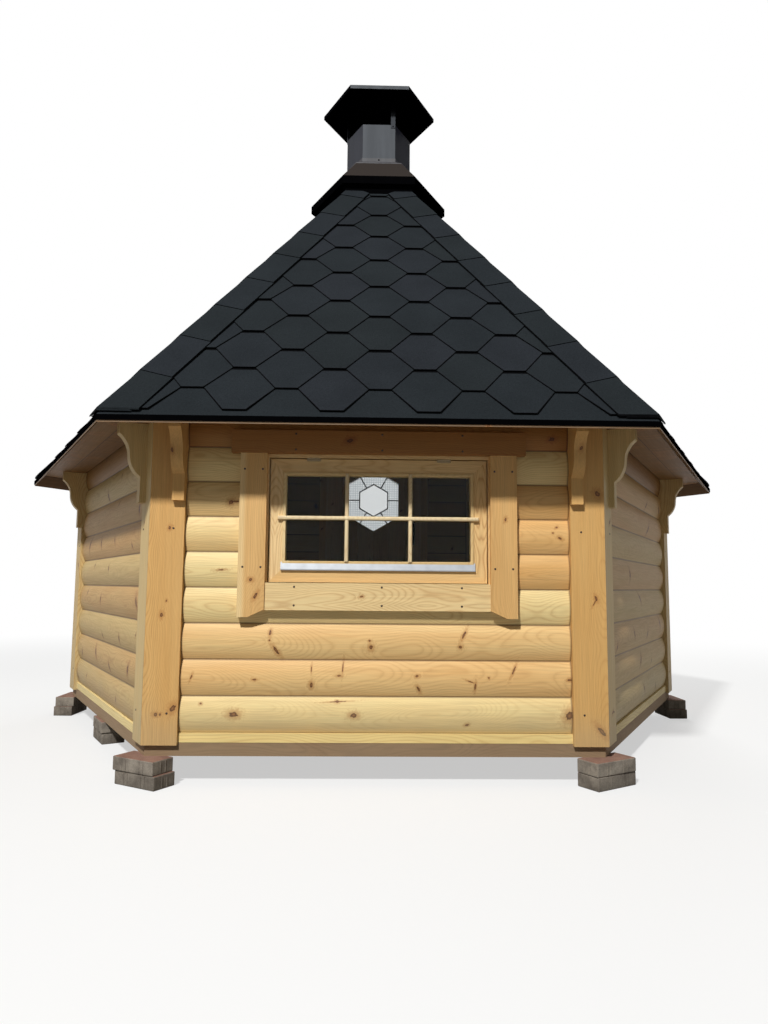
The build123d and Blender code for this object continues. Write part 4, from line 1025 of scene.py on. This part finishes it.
onto_roof = Matrix.Translation((0, -EAVE_FACE, EAVE_TOP - DECK_DROP)) @ Matrix.Rotation(PITCH, 4, "X")
for side, panel in enumerate(ROOF_PANELS):
    covering = twin(side_panel)
    if side == BACK_SIDE:
        parts = [covering, twin(side_panel), twin(side_panel)]
        cut(parts[0], (-DORMER_CUT, 0, 0), (1, 0, 0))
        cut(parts[1], (DORMER_CUT, 0, 0), (-1, 0, 0))
        cut(parts[2], (DORMER_CUT, 0, 0), (1, 0, 0))
        cut(parts[2], (-DORMER_CUT, 0, 0), (-1, 0, 0))
        cut(parts[2], (0, DORMER_TOP_CUT, 0), (0, -1, 0))
        covering = joined(parts)
    covering.data.transform(turn_to(side) @ onto_roof)
    finished(covering, panel.replace("roof", "shingles"))

# %% [markdown]
# The hips are covered with strips of the same shingle, folded over the hip and lapped like tiles, each about
# 276 mm to the weather. A strip is a flat plate, cut along its middle and folded there, which is
# what a roofer does with it. Its lower end rides on the strip below. The row is cut off at the eave
# lines and under the crown, and turned to all six hips.

# %% Hip strips
HIP_SPACING = 0.276
HIP_START = -0.267
HIP_HALF = 0.136
HIP_LENGTH = HIP_SPACING + 0.05
HIP_COUNT = 10
HIP_SHEET = 0.0045

deck_corner = Vector((math.sin(TURN / 2), -math.cos(TURN / 2), 0)) * (EAVE_FACE / math.cos(TURN / 2))
deck_corner.z = EAVE_TOP - DECK_DROP
deck_apex = Vector((0, 0, deck_corner.z + EAVE_FACE * math.tan(PITCH)))
hip_up = (deck_apex - deck_corner).normalized()
front_normal = Vector((0, -math.sin(PITCH), math.cos(PITCH)))
next_normal = turn_to(1) @ front_normal
hip_normal = (front_normal + next_normal).normalized()
hip_across = hip_up.cross(hip_normal)
fold = math.acos(front_normal.dot(next_normal)) / 2

strip = opened(bpy.ops.mesh.primitive_plane_add, size=1)
bpy.ops.transform.resize(value=(2 * HIP_HALF * math.cos(fold), HIP_LENGTH, 1))
bpy.ops.transform.translate(value=(0, HIP_LENGTH / 2, 0))
bpy.ops.mesh.bisect(plane_co=(0, 0, 0), plane_no=(1, 0, 0))
pick(strip, "verts", lambda middle, vert: abs(middle.x) > 0.01)
bpy.ops.transform.translate(value=(0, 0, -HIP_HALF * math.sin(fold)))
extrude((0, 0, HIP_SHEET))
pick(strip, "verts", lambda middle, vert: middle.y < 0.01)
bpy.ops.transform.translate(value=(0, 0, HIP_SHEET))
close()
coated(strip, lambda face: abs(face.normal.z) < 0.5)

to_hip = Matrix.Translation(deck_corner) @ Matrix((hip_across, hip_up, hip_normal)).transposed().to_4x4()
places = [Matrix.Translation((0, HIP_START + HIP_SPACING * i, TAB_LIFT)) for i in range(HIP_COUNT)]
hip_row = joined([shaded(twin(strip, to_hip @ place), laying.random()) for place in places])
for side in (0, 1):
    outwards = turn_to(side) @ FRONTWARDS
    cut(hip_row, outwards * (EAVE_FACE - 0.003), outwards)
middle_out = turn_to(0.5) @ FRONTWARDS
cut(hip_row, middle_out * CROWN_FACE, -middle_out)
finished(joined([twin(hip_row, turn_to(side)) for side in range(SIDES)]), "hip_strips")
drop(strip, side_panel, hip_row)

# %% [markdown]
# The dormer over the door has its own small roof at 10 degrees. It gets the same tabs, laid on a flat
# drawing, cut at its two sides and where it meets the main roof, and tilted. A bent black trim closes its
# front and side edges, as the drip edge does on the main roof.

# %% Dormer roof covering
DORMER_PITCH = math.radians(10)
dormer_low, dormer_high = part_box("dormer_roof")
DORMER_HALF = dormer_high.x
DORMER_FRONT = dormer_high.y
DORMER_LENGTH = (dormer_high.y - dormer_low.y) / math.cos(DORMER_PITCH)
DORMER_FRONT_TOP = 1.8192
TRIM_HEIGHT = 0.024
TRIM_SHEET = 0.003
TRIM_OUT = DORMER_HALF + TRIM_SHEET
TRIM_TOP = 0.001

dormer_rows = lay_rows(4, lambda rise: DORMER_HALF, 0.02)
dormer_rows = joined([dormer_rows, starter(DORMER_HALF, 0.175)])
for hand in (-1, 1):
    cut(dormer_rows, (hand * DORMER_HALF, 0, 0), (hand, 0, 0))
cut(dormer_rows, (0, DORMER_LENGTH + 0.012, 0), (0, 1, 0))
onto_dormer = (turn_to(BACK_SIDE) @ Matrix.Translation((0, -DORMER_FRONT, DORMER_FRONT_TOP))
               @ Matrix.Rotation(DORMER_PITCH, 4, "X"))
dormer_rows.data.transform(onto_dormer)
finished(dormer_rows, "shingles_dormer")
drop(tab)

dormer_trim = joined([slab((-TRIM_OUT, -TRIM_SHEET, -TRIM_HEIGHT), (TRIM_OUT, 0, TRIM_TOP)),
                      slab((-TRIM_OUT, 0, -TRIM_HEIGHT), (-DORMER_HALF, DORMER_LENGTH * 0.93, TRIM_TOP)),
                      slab((DORMER_HALF, 0, -TRIM_HEIGHT), (TRIM_OUT, DORMER_LENGTH * 0.93, TRIM_TOP))])
round_edges(dormer_trim, 0.0008)
dormer_trim.data.transform(onto_dormer)

# %% [markdown]
# The chimney, the hood, the drip edges, the straps and the door handles are steel with a black or dark
# grey powder coat. It is a plastic skin, so it isn't metallic, and it has a fine orange-peel surface. Its
# tone follows the direction that a face looks in, paler towards the key lamp at the front left: painted
# light and shade. Dust lies on the slopes that face that way. Faces that look down, and the straps' tops
# under the cap, are painted near black as shade, and the flashing has begun to rust through.

# %% Metals
LAMP_AND_WEATHER_SIDE = (-0.35, -0.94, 0.0)
# Painted shade: the straps are near black above this height, under the cap.
STRAP_SHADE_FROM = 3.49
NO_PAINTED_SHADE = 10.0              # a height over the whole hut


def powder_coat(name, tones, rust=0.0, dust="#332e2b", shine=0.02, shade_above=NO_PAINTED_SHADE):
    """Powder coat: tones by how far a face is turned to the lamp (painted light), dust on top, and painted
    shade, near black, underneath and above a given height.
    """
    material, tree, shader = new_finish(name)
    coordinates = add(tree, "TexCoord")
    here = coordinates.outputs["Object"]
    # Painted light: tones run from the darkest stop on faces turned from the key lamp to the palest on faces
    # turned to it.
    turned = add(tree, "VectorMath", {0: coordinates.outputs["Normal"], 1: LAMP_AND_WEATHER_SIDE},
                 operation="DOT_PRODUCT")
    coat = add(tree, "ValToRGB", {"Fac": turned.outputs["Value"]},
               stops=[(share, colour(tone)) for share, tone in tones])
    stretched = add(tree, "VectorMath", {0: here, 1: (22.0, 22.0, 2.2)}, operation="MULTIPLY")
    runs = add(tree, "TexNoise", {"Vector": stretched, "Scale": 1.0, "Detail": 3.0})
    run_share = add(tree, "MapRange", {"Value": runs, "From Min": 0.35, "From Max": 0.75, "To Min": 0.9,
                                       "To Max": 1.15})
    streaked = add(tree, "MixRGB", {"Fac": 1.0, "Color1": coat, "Color2": run_share}, blend_type="MULTIPLY")
    facing = add(tree, "SeparateXYZ", {0: coordinates.outputs["Normal"]})
    upward = add(tree, "MapRange", {"Value": facing.outputs["Z"], "From Min": 0.25, "From Max": 0.5})
    exposed = add(tree, "MapRange", {"Value": turned.outputs["Value"], "From Min": 0.6, "From Max": 0.7})
    settled = add(tree, "Math", {0: upward, 1: exposed}, operation="MULTIPLY")
    dusty = add(tree, "MixRGB", {"Fac": settled, "Color1": streaked, "Color2": colour(dust)})
    # Painted shade: faces that look down, and all above the given height, are mixed to near black.
    downward = add(tree, "MapRange", {"Value": facing.outputs["Z"], "From Min": -0.2, "From Max": -0.4})
    height = add(tree, "SeparateXYZ", {0: here})
    shaded_high = add(tree, "MapRange", {"Value": height.outputs["Z"], "From Min": shade_above,
                                    "From Max": shade_above + 0.03})
    painted_shade_mask = add(tree, "Math", {0: downward, 1: shaded_high}, operation="MAXIMUM")
    painted_shade_added = add(tree, "MixRGB", {"Fac": painted_shade_mask, "Color1": dusty, "Color2": colour("#020203")})
    blooms = add(tree, "TexNoise", {"Vector": here, "Scale": 16.0, "Detail": 5.0, "Roughness": 0.65})
    bloom = add(tree, "MapRange", {"Value": blooms, "From Min": 0.42, "From Max": 0.7, "To Max": rust})
    result = add(tree, "MixRGB", {"Fac": bloom, "Color1": painted_shade_added, "Color2": colour("#5d4438")})
    tree.links.new(result.outputs[0], shader.inputs["Base Color"])
    gloss = add(tree, "MapRange", {"Value": runs, "To Min": 0.36, "To Max": 0.5})
    tree.links.new(gloss.outputs[0], shader.inputs["Roughness"])
    peel = add(tree, "TexNoise", {"Vector": here, "Scale": 420.0, "Detail": 1.0})
    bump = add(tree, "Bump", {"Strength": 0.12, "Distance": 0.0004, "Height": peel})
    tree.links.new(bump.outputs[0], shader.inputs["Normal"])
    shader.inputs["Specular IOR Level"].default_value = shine
    return material


def bare_metal(name, base, rough, stretch):
    """Bare metal with rolling or brushing marks along one direction."""
    material, tree, shader = new_finish(name)
    here = add(tree, "TexCoord").outputs["Object"]
    stretched = add(tree, "VectorMath", {0: here, 1: stretch}, operation="MULTIPLY")
    marks = add(tree, "TexNoise", {"Vector": stretched, "Scale": 1.0, "Detail": 3.0})
    dull = add(tree, "TexNoise", {"Vector": here, "Scale": 30.0, "Detail": 3.0})
    tint = add(tree, "MapRange", {"Value": dull, "From Min": 0.3, "From Max": 0.7, "To Min": 0.88,
                                  "To Max": 1.05})
    shade = add(tree, "MixRGB", {"Fac": 1.0, "Color1": colour(base), "Color2": tint}, blend_type="MULTIPLY")
    tree.links.new(shade.outputs[0], shader.inputs["Base Color"])
    gloss = add(tree, "MapRange", {"Value": marks, "To Min": rough - 0.1, "To Max": rough + 0.12})
    tree.links.new(gloss.outputs[0], shader.inputs["Roughness"])
    bump = add(tree, "Bump", {"Strength": 0.15, "Distance": 0.0003, "Height": marks})
    tree.links.new(bump.outputs[0], shader.inputs["Normal"])
    shader.inputs["Metallic"].default_value = 1.0
    return material


# In each list of stops the last tone is for faces turned to the key lamp: painted light.
black_steel = powder_coat("black_powder_coat", [(0.0, "#020203"), (1.0, "#050506")], shine=0.0)
tube_steel = powder_coat("graphite_powder_coat", [(0.17, "#0a0b16"), (0.75, "#34353b"), (0.93, "#505357")])
cap_steel = powder_coat("graphite_powder_coat_dark_below", [(0.8, "#09090b"), (0.93, "#55585b")], shine=0.0)
strap_steel = powder_coat("graphite_powder_coat_shaded_top", [(0.1, "#24252a"), (0.9, "#3d4044")],
                          shade_above=STRAP_SHADE_FROM)
rusty_steel = powder_coat("graphite_powder_coat_rusting", [(0.1, "#23222a"), (0.7, "#47464a"),
                                                           (0.93, "#5d5e60")], rust=0.12, dust="#3a3431")
aluminium = bare_metal("mill_aluminium", "#9a9da0", 0.46, (3.0, 200.0, 200.0))
zinc = bare_metal("zinc_plated_steel", "#797974", 0.38, (60.0, 60.0, 60.0))
brass = bare_metal("dulled_brass_plate", "#695c47", 0.42, (60.0, 60.0, 60.0))
lead = bare_metal("lead_came", "#9a9ea2", 0.6, (40.0, 40.0, 40.0))
# The upstand under the hood's rim is coated near black, which also paints the shade in the gap under the
# rim.
dress(black_steel, "drip_edges", "crown_hood", "crown_upstand", "door_handles")
dress(tube_steel, "chimney_tube")
dress(cap_steel, "chimney_cap")
dress(strap_steel, "cap_straps")
dress(rusty_steel, "chimney_flashing")
dress(aluminium, "window_drip_rail")
dress(brass, "window_hinges")
dress(zinc, "door_straps", "hinge_pins")
finished(dormer_trim, "dormer_trim", black_steel)

# %% [markdown]
# Two kinds of glass. The window has clear float glass, which is smooth and faintly green. The door's
# six-sided pane is obscured glass: light comes through it, but no picture, so it is bright against the dark
# room. Its outer panes are cast with a small square pattern, 18 mm wide.

# %% Glass
CAST_SQUARE = 0.018
PANE_CORNER = 0.2321
PANE_STRETCH = 0.04         # the upright sides are this much longer than in an even hexagon
INNER_SHARE = 0.57
GLASS_IOR = 1.18            # under glass's own 1.5: the white surround would else veil the dark room
pane_low, pane_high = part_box("door_glass")
PANE_MIDDLE = (pane_low.z + pane_high.z) / 2
PANE_FLAT = PANE_CORNER * math.cos(TURN / 2)

clear_glass, tree, shader = new_finish("float_glass")
here = add(tree, "TexCoord").outputs["Object"]
film = add(tree, "TexNoise", {"Vector": here, "Scale": 9.0, "Detail": 4.0, "Roughness": 0.6})
film_rough = add(tree, "MapRange", {"Value": film, "From Min": 0.35, "From Max": 0.75, "To Min": 0.0,
                                    "To Max": 0.06})
tree.links.new(film_rough.outputs[0], shader.inputs["Roughness"])
shader.inputs["Base Color"].default_value = colour("#eef3f1")
shader.inputs["Transmission Weight"].default_value = 1.0
shader.inputs["IOR"].default_value = GLASS_IOR

obscured_glass, tree, shader = new_finish("obscured_door_glass")
here = add(tree, "TexCoord").outputs["Object"]
parts = add(tree, "SeparateXYZ", {0: here})
lines = []
for axis, centre in ((0, 0.0), (2, PANE_MIDDLE)):
    shifted = add(tree, "Math", {0: parts.outputs[axis], 1: centre}, operation="SUBTRACT")
    squares = add(tree, "Math", {0: shifted, 1: CAST_SQUARE}, operation="DIVIDE")
    within = add(tree, "Math", {0: squares}, operation="FRACT")
    swing = add(tree, "Math", {0: within, 1: 0.5}, operation="SUBTRACT")
    far = add(tree, "Math", {0: swing}, operation="ABSOLUTE")
    lines.append(add(tree, "MapRange", {"Value": far, "From Min": 0.3, "From Max": 0.42}))
grid = add(tree, "Math", {0: lines[0], 1: lines[1]}, operation="MAXIMUM")
from_middle = add(tree, "VectorMath", {0: here, 1: (0.0, 0.0, PANE_MIDDLE)}, operation="SUBTRACT")
reach = 0.0
for turn in range(3):
    flat = (math.cos(TURN * turn), 0.0, math.sin(TURN * turn))
    along_flat = add(tree, "VectorMath", {0: from_middle, 1: flat}, operation="DOT_PRODUCT")
    size = add(tree, "Math", {0: along_flat.outputs["Value"]}, operation="ABSOLUTE")
    reach = add(tree, "Math", {0: size, 1: reach}, operation="MAXIMUM")
outer = add(tree, "Math", {0: reach, 1: INNER_SHARE * PANE_FLAT}, operation="GREATER_THAN")
grid = add(tree, "Math", {0: grid, 1: outer}, operation="MULTIPLY")
tint = add(tree, "MixRGB", {"Fac": grid, "Color1": colour("#e2e1e3"), "Color2": colour("#a2a7ac")})
tree.links.new(tint.outputs[0], shader.inputs["Base Color"])
shader.inputs["Roughness"].default_value = 0.35
shader.inputs["Transmission Weight"].default_value = 1.0
shader.inputs["IOR"].default_value = 1.5
bump = add(tree, "Bump", {"Strength": 0.4, "Distance": 0.001, "Height": grid})
tree.links.new(bump.outputs[0], shader.inputs["Normal"])
dress(clear_glass, "window_glass")
dress(obscured_glass, "door_glass")

# %% [markdown]
# The window's bars are half-round mouldings laid over the sash: one long level bar that laps onto both
# stiles, and two uprights that stop on the drip rail. Each starts as a block, and its front edges are
# rounded with a bevel. A bead runs round the glass: a plate, inset to a frame, pulled forward and rounded.

# %% Window bars and bead
SASH_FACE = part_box("window_sash")[0].y
glass_low, glass_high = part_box("window_glass")
rail_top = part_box("window_drip_rail")[1].z
BAR_HALF = 0.0075
BAR_REACH = 0.38
BAR_HEIGHT = 0.975
BAR_PLACES = (-0.12, 0.12)
LEVEL_PROUD = 0.0135
UPRIGHT_PROUD = 0.0115
BEAD = 0.012


def bar_place(tree):
    """Along the longer way of a bar, whichever way it lies."""
    along, out, up_here, side = along_out_up(tree)
    level = add(tree, "Math", {0: up_here, 1: BAR_HEIGHT}, operation="SUBTRACT")
    close = add(tree, "Math", {0: level}, operation="ABSOLUTE")
    stands = add(tree, "Math", {0: close, 1: BAR_HALF * 1.02}, operation="GREATER_THAN")
    return framed(tree, stands.outputs[0], 9.4)


bar_pine = pine("planed_pine_bars", bar_place, ["#e6d3aa", "#e0cb9f", "#d8c091"], knot_share=0.0,
                contrast=0.3, heart_depth=0.12)


def bar(left, right, bottom, top, proud, name):
    """A bar with a rounded front."""
    front = SASH_FACE - proud
    piece = slab((left, front, bottom), (right, SASH_FACE, top))
    round_edges(piece, 0.0055, 4, lambda middle, edge: middle.y < front + 0.001)
    finished(piece, name, bar_pine, smooth=40)


bar(-BAR_REACH, BAR_REACH, BAR_HEIGHT - BAR_HALF, BAR_HEIGHT + BAR_HALF, LEVEL_PROUD, "window_bar_level")
for number, x in enumerate(BAR_PLACES):
    bar(x - BAR_HALF, x + BAR_HALF, rail_top, glass_high.z + 0.008, UPRIGHT_PROUD,
        f"window_bar_upright_{number + 1}")

bead = opened(bpy.ops.mesh.primitive_plane_add, size=1, rotation=STANDING)
bpy.ops.transform.resize(value=(2 * (glass_high.x + BEAD), 1, glass_high.z - glass_low.z + 2 * BEAD))
bpy.ops.transform.translate(value=(0, SASH_FACE, (glass_low.z + glass_high.z) / 2))
frame_of(BEAD, (0, -0.005, 0))
round_edges(bead, 0.0028, 3, lambda middle, edge: middle.y < SASH_FACE - 0.004
            and abs(edge.verts[0].co.y - edge.verts[1].co.y) < 0.001 and len(edge.link_faces) == 2
            and abs(edge.link_faces[0].normal.dot(edge.link_faces[1].normal)) < 0.5)
bead_pine = pine("planed_pine_bead", sash_board, ["#e4cc98", "#dcc08a", "#d5b57b"], knot_share=0.0,
                 contrast=0.3, heart_depth=0.12)
finished(bead, "window_bead", bead_pine, smooth=40)

# %% [markdown]
# The door leaf was one plain slab with a six-sided hole. The real one is made of upright boards with
# a V-shaped joint between them. One board is a block with bevelled edges. Six copies stand side by side,
# and a six-sided tool cuts the hole out of each with a Boolean modifier, which is then applied. The boards
# are cut one by one, because a Boolean needs closed meshes that don't share faces. The new leaf takes the
# slab's place and turns with the door. The tool is a cylinder with six sides, pulled a little taller.

# %% Door leaf of boards
leaf_low, leaf_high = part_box("door_leaf")
LEAF_BOARDS = 6
LEAF_BOARD = (leaf_high.x - leaf_low.x) / LEAF_BOARDS
board = slab(leaf_low, (leaf_low.x + LEAF_BOARD, leaf_high.y, leaf_high.z))
round_edges(board, 0.0045, 1, lambda middle, edge: abs(edge.verts[0].co.z - edge.verts[1].co.z) > 0.5)
cutter = opened(bpy.ops.mesh.primitive_cylinder_add, vertices=SIDES, radius=PANE_CORNER, depth=0.2,
                location=(0, leaf_low.y, PANE_MIDDLE), rotation=STANDING)
for hand in (-1, 1):
    pick(cutter, "verts", lambda middle, vert: (middle.z - PANE_MIDDLE) * hand > 0)
    bpy.ops.transform.translate(value=(0, 0, hand * PANE_STRETCH / 2))
bpy.ops.object.mode_set(mode="OBJECT")
boards = []
for number in range(LEAF_BOARDS):
    copy = twin(board, Matrix.Translation((LEAF_BOARD * number, 0, 0)))
    only(copy)
    hole = copy.modifiers.new("pane_hole", "BOOLEAN")
    hole.operation = "DIFFERENCE"
    hole.solver = "EXACT"
    hole.object = cutter
    bpy.ops.object.modifier_apply(modifier=hole.name)
    boards.append(copy)
leaf = joined(boards)
drop(board, cutter)
finished(leaf, "door_leaf_boards", door_pine, body="door", instead_of=("door_leaf",))

# %% [markdown]
# Lead strips divide the pane: a small hexagon in the middle and one strip from the middle of each of its
# sides to the middle of the pane's side. The hexagon is a circle with six vertices, inset and extruded
# through the glass. Each spoke is a block, turned to its place. The four slanting ones are longer, because
# the pane is taller than it is wide.

# %% Leads
LEAD_WIDTH = 0.009
LEAD_PROUD = 0.002
lead_front = pane_low.y - LEAD_PROUD
lead_back = pane_high.y + LEAD_PROUD
ring = hexagon(PANE_CORNER * INNER_SHARE, rotation=STANDING)
bpy.ops.transform.translate(value=(0, lead_front, PANE_MIDDLE))
frame_of(LEAD_WIDTH, (0, lead_back - lead_front, 0))
leads = [ring]
for number in range(SIDES):
    further = 0.0 if number % 3 == 0 else PANE_STRETCH / 2 * math.cos(TURN / 2)
    spoke = slab((PANE_FLAT * INNER_SHARE - LEAD_WIDTH, lead_front, -LEAD_WIDTH / 2),
                 (PANE_FLAT + further, lead_back, LEAD_WIDTH / 2))
    round_edges(spoke, 0.001, 1)
    spoke.data.transform(Matrix.Translation((0, 0, PANE_MIDDLE)) @ Matrix.Rotation(TURN * number, 4, "Y"))
    leads.append(spoke)
finished(joined(leads), "door_leads", lead, body="door")

# %% [markdown]
# The hut stands on concrete pavers, two high. A paver is a block with chamfered edges and thin spacer ribs
# on its four sides. One is modelled and fourteen are laid, the lower ones a few millimetres aside, as on
# site. Concrete pavers are grey through and through, here with a reddish face on top and coarse sand in
# the surface. Their colour darkens towards the ground, over the lower course.

# %% Pavers
PAVER = Vector((0.2, 0.1, 0.05))
RIB = 0.0015
RIB_HALF = 0.002
RIB_LOW = 0.004
RIB_HIGH = PAVER.z - 0.005
PIER_RADIUS = 1.6944
SIDE_PIER = 1.4289
placing = random.Random(5)

concrete, tree, shader = new_finish("weathered_paver_concrete")
coordinates = add(tree, "TexCoord")
here = coordinates.outputs["Object"]
sand = add(tree, "TexNoise", {"Vector": here, "Scale": 260.0, "Detail": 3.0, "Roughness": 0.7})
weather = add(tree, "TexNoise", {"Vector": here, "Scale": 18.0, "Detail": 5.0, "Roughness": 0.6})
side_grey = add(tree, "ValToRGB", {"Fac": weather}, stops=[(0.3, colour("#6f675d")),
                                                           (0.5, colour("#8a8175")),
                                                           (0.72, colour("#a1988a"))])
face_red = add(tree, "ValToRGB", {"Fac": weather}, stops=[(0.3, colour("#78594d")),
                                                          (0.7, colour("#947463"))])
facing = add(tree, "SeparateXYZ", {0: coordinates.outputs["Normal"]})
upward = add(tree, "MapRange", {"Value": facing.outputs["Z"], "From Min": 0.4, "From Max": 0.8})
mixed = add(tree, "MixRGB", {"Fac": upward, "Color1": side_grey, "Color2": face_red})
height = add(tree, "SeparateXYZ", {0: here})
# The colour darkens towards the ground, over the lowest 60 mm.
lower_darkening = add(tree, "MapRange", {"Value": height.outputs["Z"], "From Min": 0.0, "From Max": 0.06,
                              "To Min": 0.62,
                              "To Max": 1.0})
darkened_low = add(tree, "MixRGB", {"Fac": 1.0, "Color1": mixed, "Color2": lower_darkening}, blend_type="MULTIPLY")
grain = add(tree, "MapRange", {"Value": sand, "From Min": 0.25, "From Max": 0.75, "To Min": 0.7,
                               "To Max": 1.25})
grained = add(tree, "MixRGB", {"Fac": 1.0, "Color1": darkened_low, "Color2": grain}, blend_type="MULTIPLY")
tree.links.new(grained.outputs[0], shader.inputs["Base Color"])
shader.inputs["Roughness"].default_value = 0.92
shader.inputs["Specular IOR Level"].default_value = 0.25
bump = add(tree, "Bump", {"Strength": 0.6, "Distance": 0.0015, "Height": sand})
tree.links.new(bump.outputs[0], shader.inputs["Normal"])

half = PAVER / 2
paver = slab((-half.x, -half.y, 0), (half.x, half.y, PAVER.z))
round_edges(paver, 0.0035, 2)
ribs = [slab((x - RIB_HALF, -half.y - RIB, RIB_LOW), (x + RIB_HALF, half.y + RIB, RIB_HIGH))
        for x in (-0.052, -0.034, 0.034, 0.052)]
ribs += [slab((-half.x - RIB, y - RIB_HALF, RIB_LOW), (half.x + RIB, y + RIB_HALF, RIB_HIGH))
         for y in (-0.012, 0.012)]
paver = joined([paver] + ribs)
places = [turn_to(side + 0.5) @ Matrix.Translation((0, -PIER_RADIUS, 0)) for side in range(SIDES)]
places.append(turn_to(5) @ Matrix.Translation((0, -SIDE_PIER, 0)))
laid = []
for place in places:
    for course in range(2):
        loose = 0.0 if course else 1.0
        slide = Matrix.Translation((placing.uniform(-0.008, 0.008) * loose,
                                    placing.uniform(-0.005, 0.005) * loose, course * PAVER.z))
        askew = Matrix.Rotation(math.radians(placing.uniform(-2.0, 2.0)) * loose, 4, "Z")
        laid.append(twin(paver, place @ slide @ askew))
drop(paver)
finished(joined(laid), "pavers", concrete, instead_of=("paver_piers",))

# %% [markdown]
# The floor is laid with planed boards from side to side. One board with eased edges is copied across and
# the six walls' lines cut the field to shape, as a carpenter would trim the ends in place.

# %% Floor boards
floor_low, floor_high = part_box("floor_boards")
FLOOR_BOARD = 0.095
wall_inside = floor_high.y
count = math.ceil(2 * wall_inside / FLOOR_BOARD)


def floor_board_place(tree):
    """Boards that all run along X, whichever wall they end at."""
    split = add(tree, "SeparateXYZ", {0: add(tree, "TexCoord").outputs["Object"]})
    moved = add(tree, "Math", {0: split.outputs["Y"], 1: wall_inside}, operation="ADD")
    boards = add(tree, "Math", {0: moved, 1: FLOOR_BOARD}, operation="DIVIDE")
    board = add(tree, "Math", {0: boards}, operation="FLOOR")
    within = add(tree, "Math", {0: boards, 1: board}, operation="SUBTRACT")
    centred = add(tree, "Math", {0: within, 1: 0.5}, operation="SUBTRACT")
    across = add(tree, "Math", {0: centred, 1: FLOOR_BOARD}, operation="MULTIPLY")
    seed = add(tree, "Math", {0: board, 1: 0.377}, operation="MULTIPLY")
    return split.outputs["X"], across.outputs[0], split.outputs["Z"], seed.outputs[0]


floor_pine = pine("planed_floor_boards", floor_board_place, ["#d9bd88", "#cfae74", "#c49f64"],
                  board_width=0.09)
plank = slab((-floor_high.x, -wall_inside, floor_low.z),
             (floor_high.x, -wall_inside + FLOOR_BOARD, floor_high.z))
round_edges(plank, 0.0015, 1, lambda middle, edge: middle.z > floor_high.z - 0.001
            and abs(edge.verts[0].co.x - edge.verts[1].co.x) > 1)
planks = joined([twin(plank, Matrix.Translation((0, FLOOR_BOARD * i, 0))) for i in range(count)])
drop(plank)
for side in range(SIDES):
    outwards = turn_to(side) @ FRONTWARDS
    cut(planks, outwards * wall_inside, outwards)
finished(planks, "floor_planks", floor_pine, instead_of=("floor_boards",))

# %% [markdown]
# Nails show as small dark heads in the casings and posts. A head is a low cylinder with a rounded rim. Each
# one stands a little proud of its board.

# %% Nails
NAIL_RADIUS = 0.0042
NAIL_PROUD = 0.0012
HEAD_OUT = -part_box("window_casings")[0].y
CASING_OUT = 1.4959
APRON_OUT = 1.4899
POST_NAIL = 0.765
nail_steel = bare_metal("dull_nail_steel", "#4a4038", 0.55, (80.0, 80.0, 80.0))


def head_at(x, out, height, side=0, radius=NAIL_RADIUS):
    """A round head that faces outwards from a wall."""
    head = placed(bpy.ops.mesh.primitive_cylinder_add, vertices=10, radius=radius, depth=2 * NAIL_PROUD,
                  rotation=STANDING)
    round_edges(head, NAIL_PROUD * 0.7, 1, lambda middle, edge: middle.y < -NAIL_PROUD * 0.9)
    head.data.transform(turn_to(side) @ Matrix.Translation((x, -out, height)))
    return head


heads = [head_at(x, HEAD_OUT, z) for x in (-0.313, 0.011, 0.314) for z in (1.229, 1.289)]
heads += [head_at(x, APRON_OUT, z) for x in (-0.311, 0.014, 0.312) for z in (0.648, 0.716)]
heads += [head_at(x, CASING_OUT, z) for x in (-0.503, -0.436, 0.436, 0.503) for z in (0.788, 1.155)]
heads += [head_at(x, POST_FACE, z, side) for side in range(SIDES) for x in (-POST_NAIL, POST_NAIL)
          for z in (0.254, 0.93)]
finished(joined(heads), "nail_heads", nail_steel, smooth=50)

# %% [markdown]
# Where the flashing ends on the hood its edge is folded over, which catches the light as a pale line. It is
# modelled as a six-sided circle: inset to a narrow frame, extruded to the fold's thickness and rounded.

# %% Folded edge of the flashing
FOLD_FACE = 0.2275
FOLD_WIDTH = 0.009
FOLD_HEIGHT = 0.011
FOLD_LEVEL = 3.149
folded = hexagon(FOLD_FACE / math.cos(TURN / 2), location=(0, 0, FOLD_LEVEL), rotation=(0, 0, TURN / 2))
frame_of(FOLD_WIDTH, (0, 0, FOLD_HEIGHT))
round_edges(folded, 0.0018, 2)
finished(folded, "flashing_fold", rusty_steel, smooth=40)

# %% [markdown]
# Screws hold the collar on all six sides of the chimney, and the cap's straps on three of them. They are
# the same round heads in the black of the coat.

# %% Chimney screws
COLLAR_OUT = 0.1685
screws = [head_at(0, COLLAR_OUT, 3.2115, side, 0.005) for side in range(SIDES)]
screws += [head_at(0.0825, COLLAR_OUT, 3.4225, side, 0.004) for side in (0, 2, 4)]
finished(joined(screws), "chimney_screws", black_steel, smooth=50)
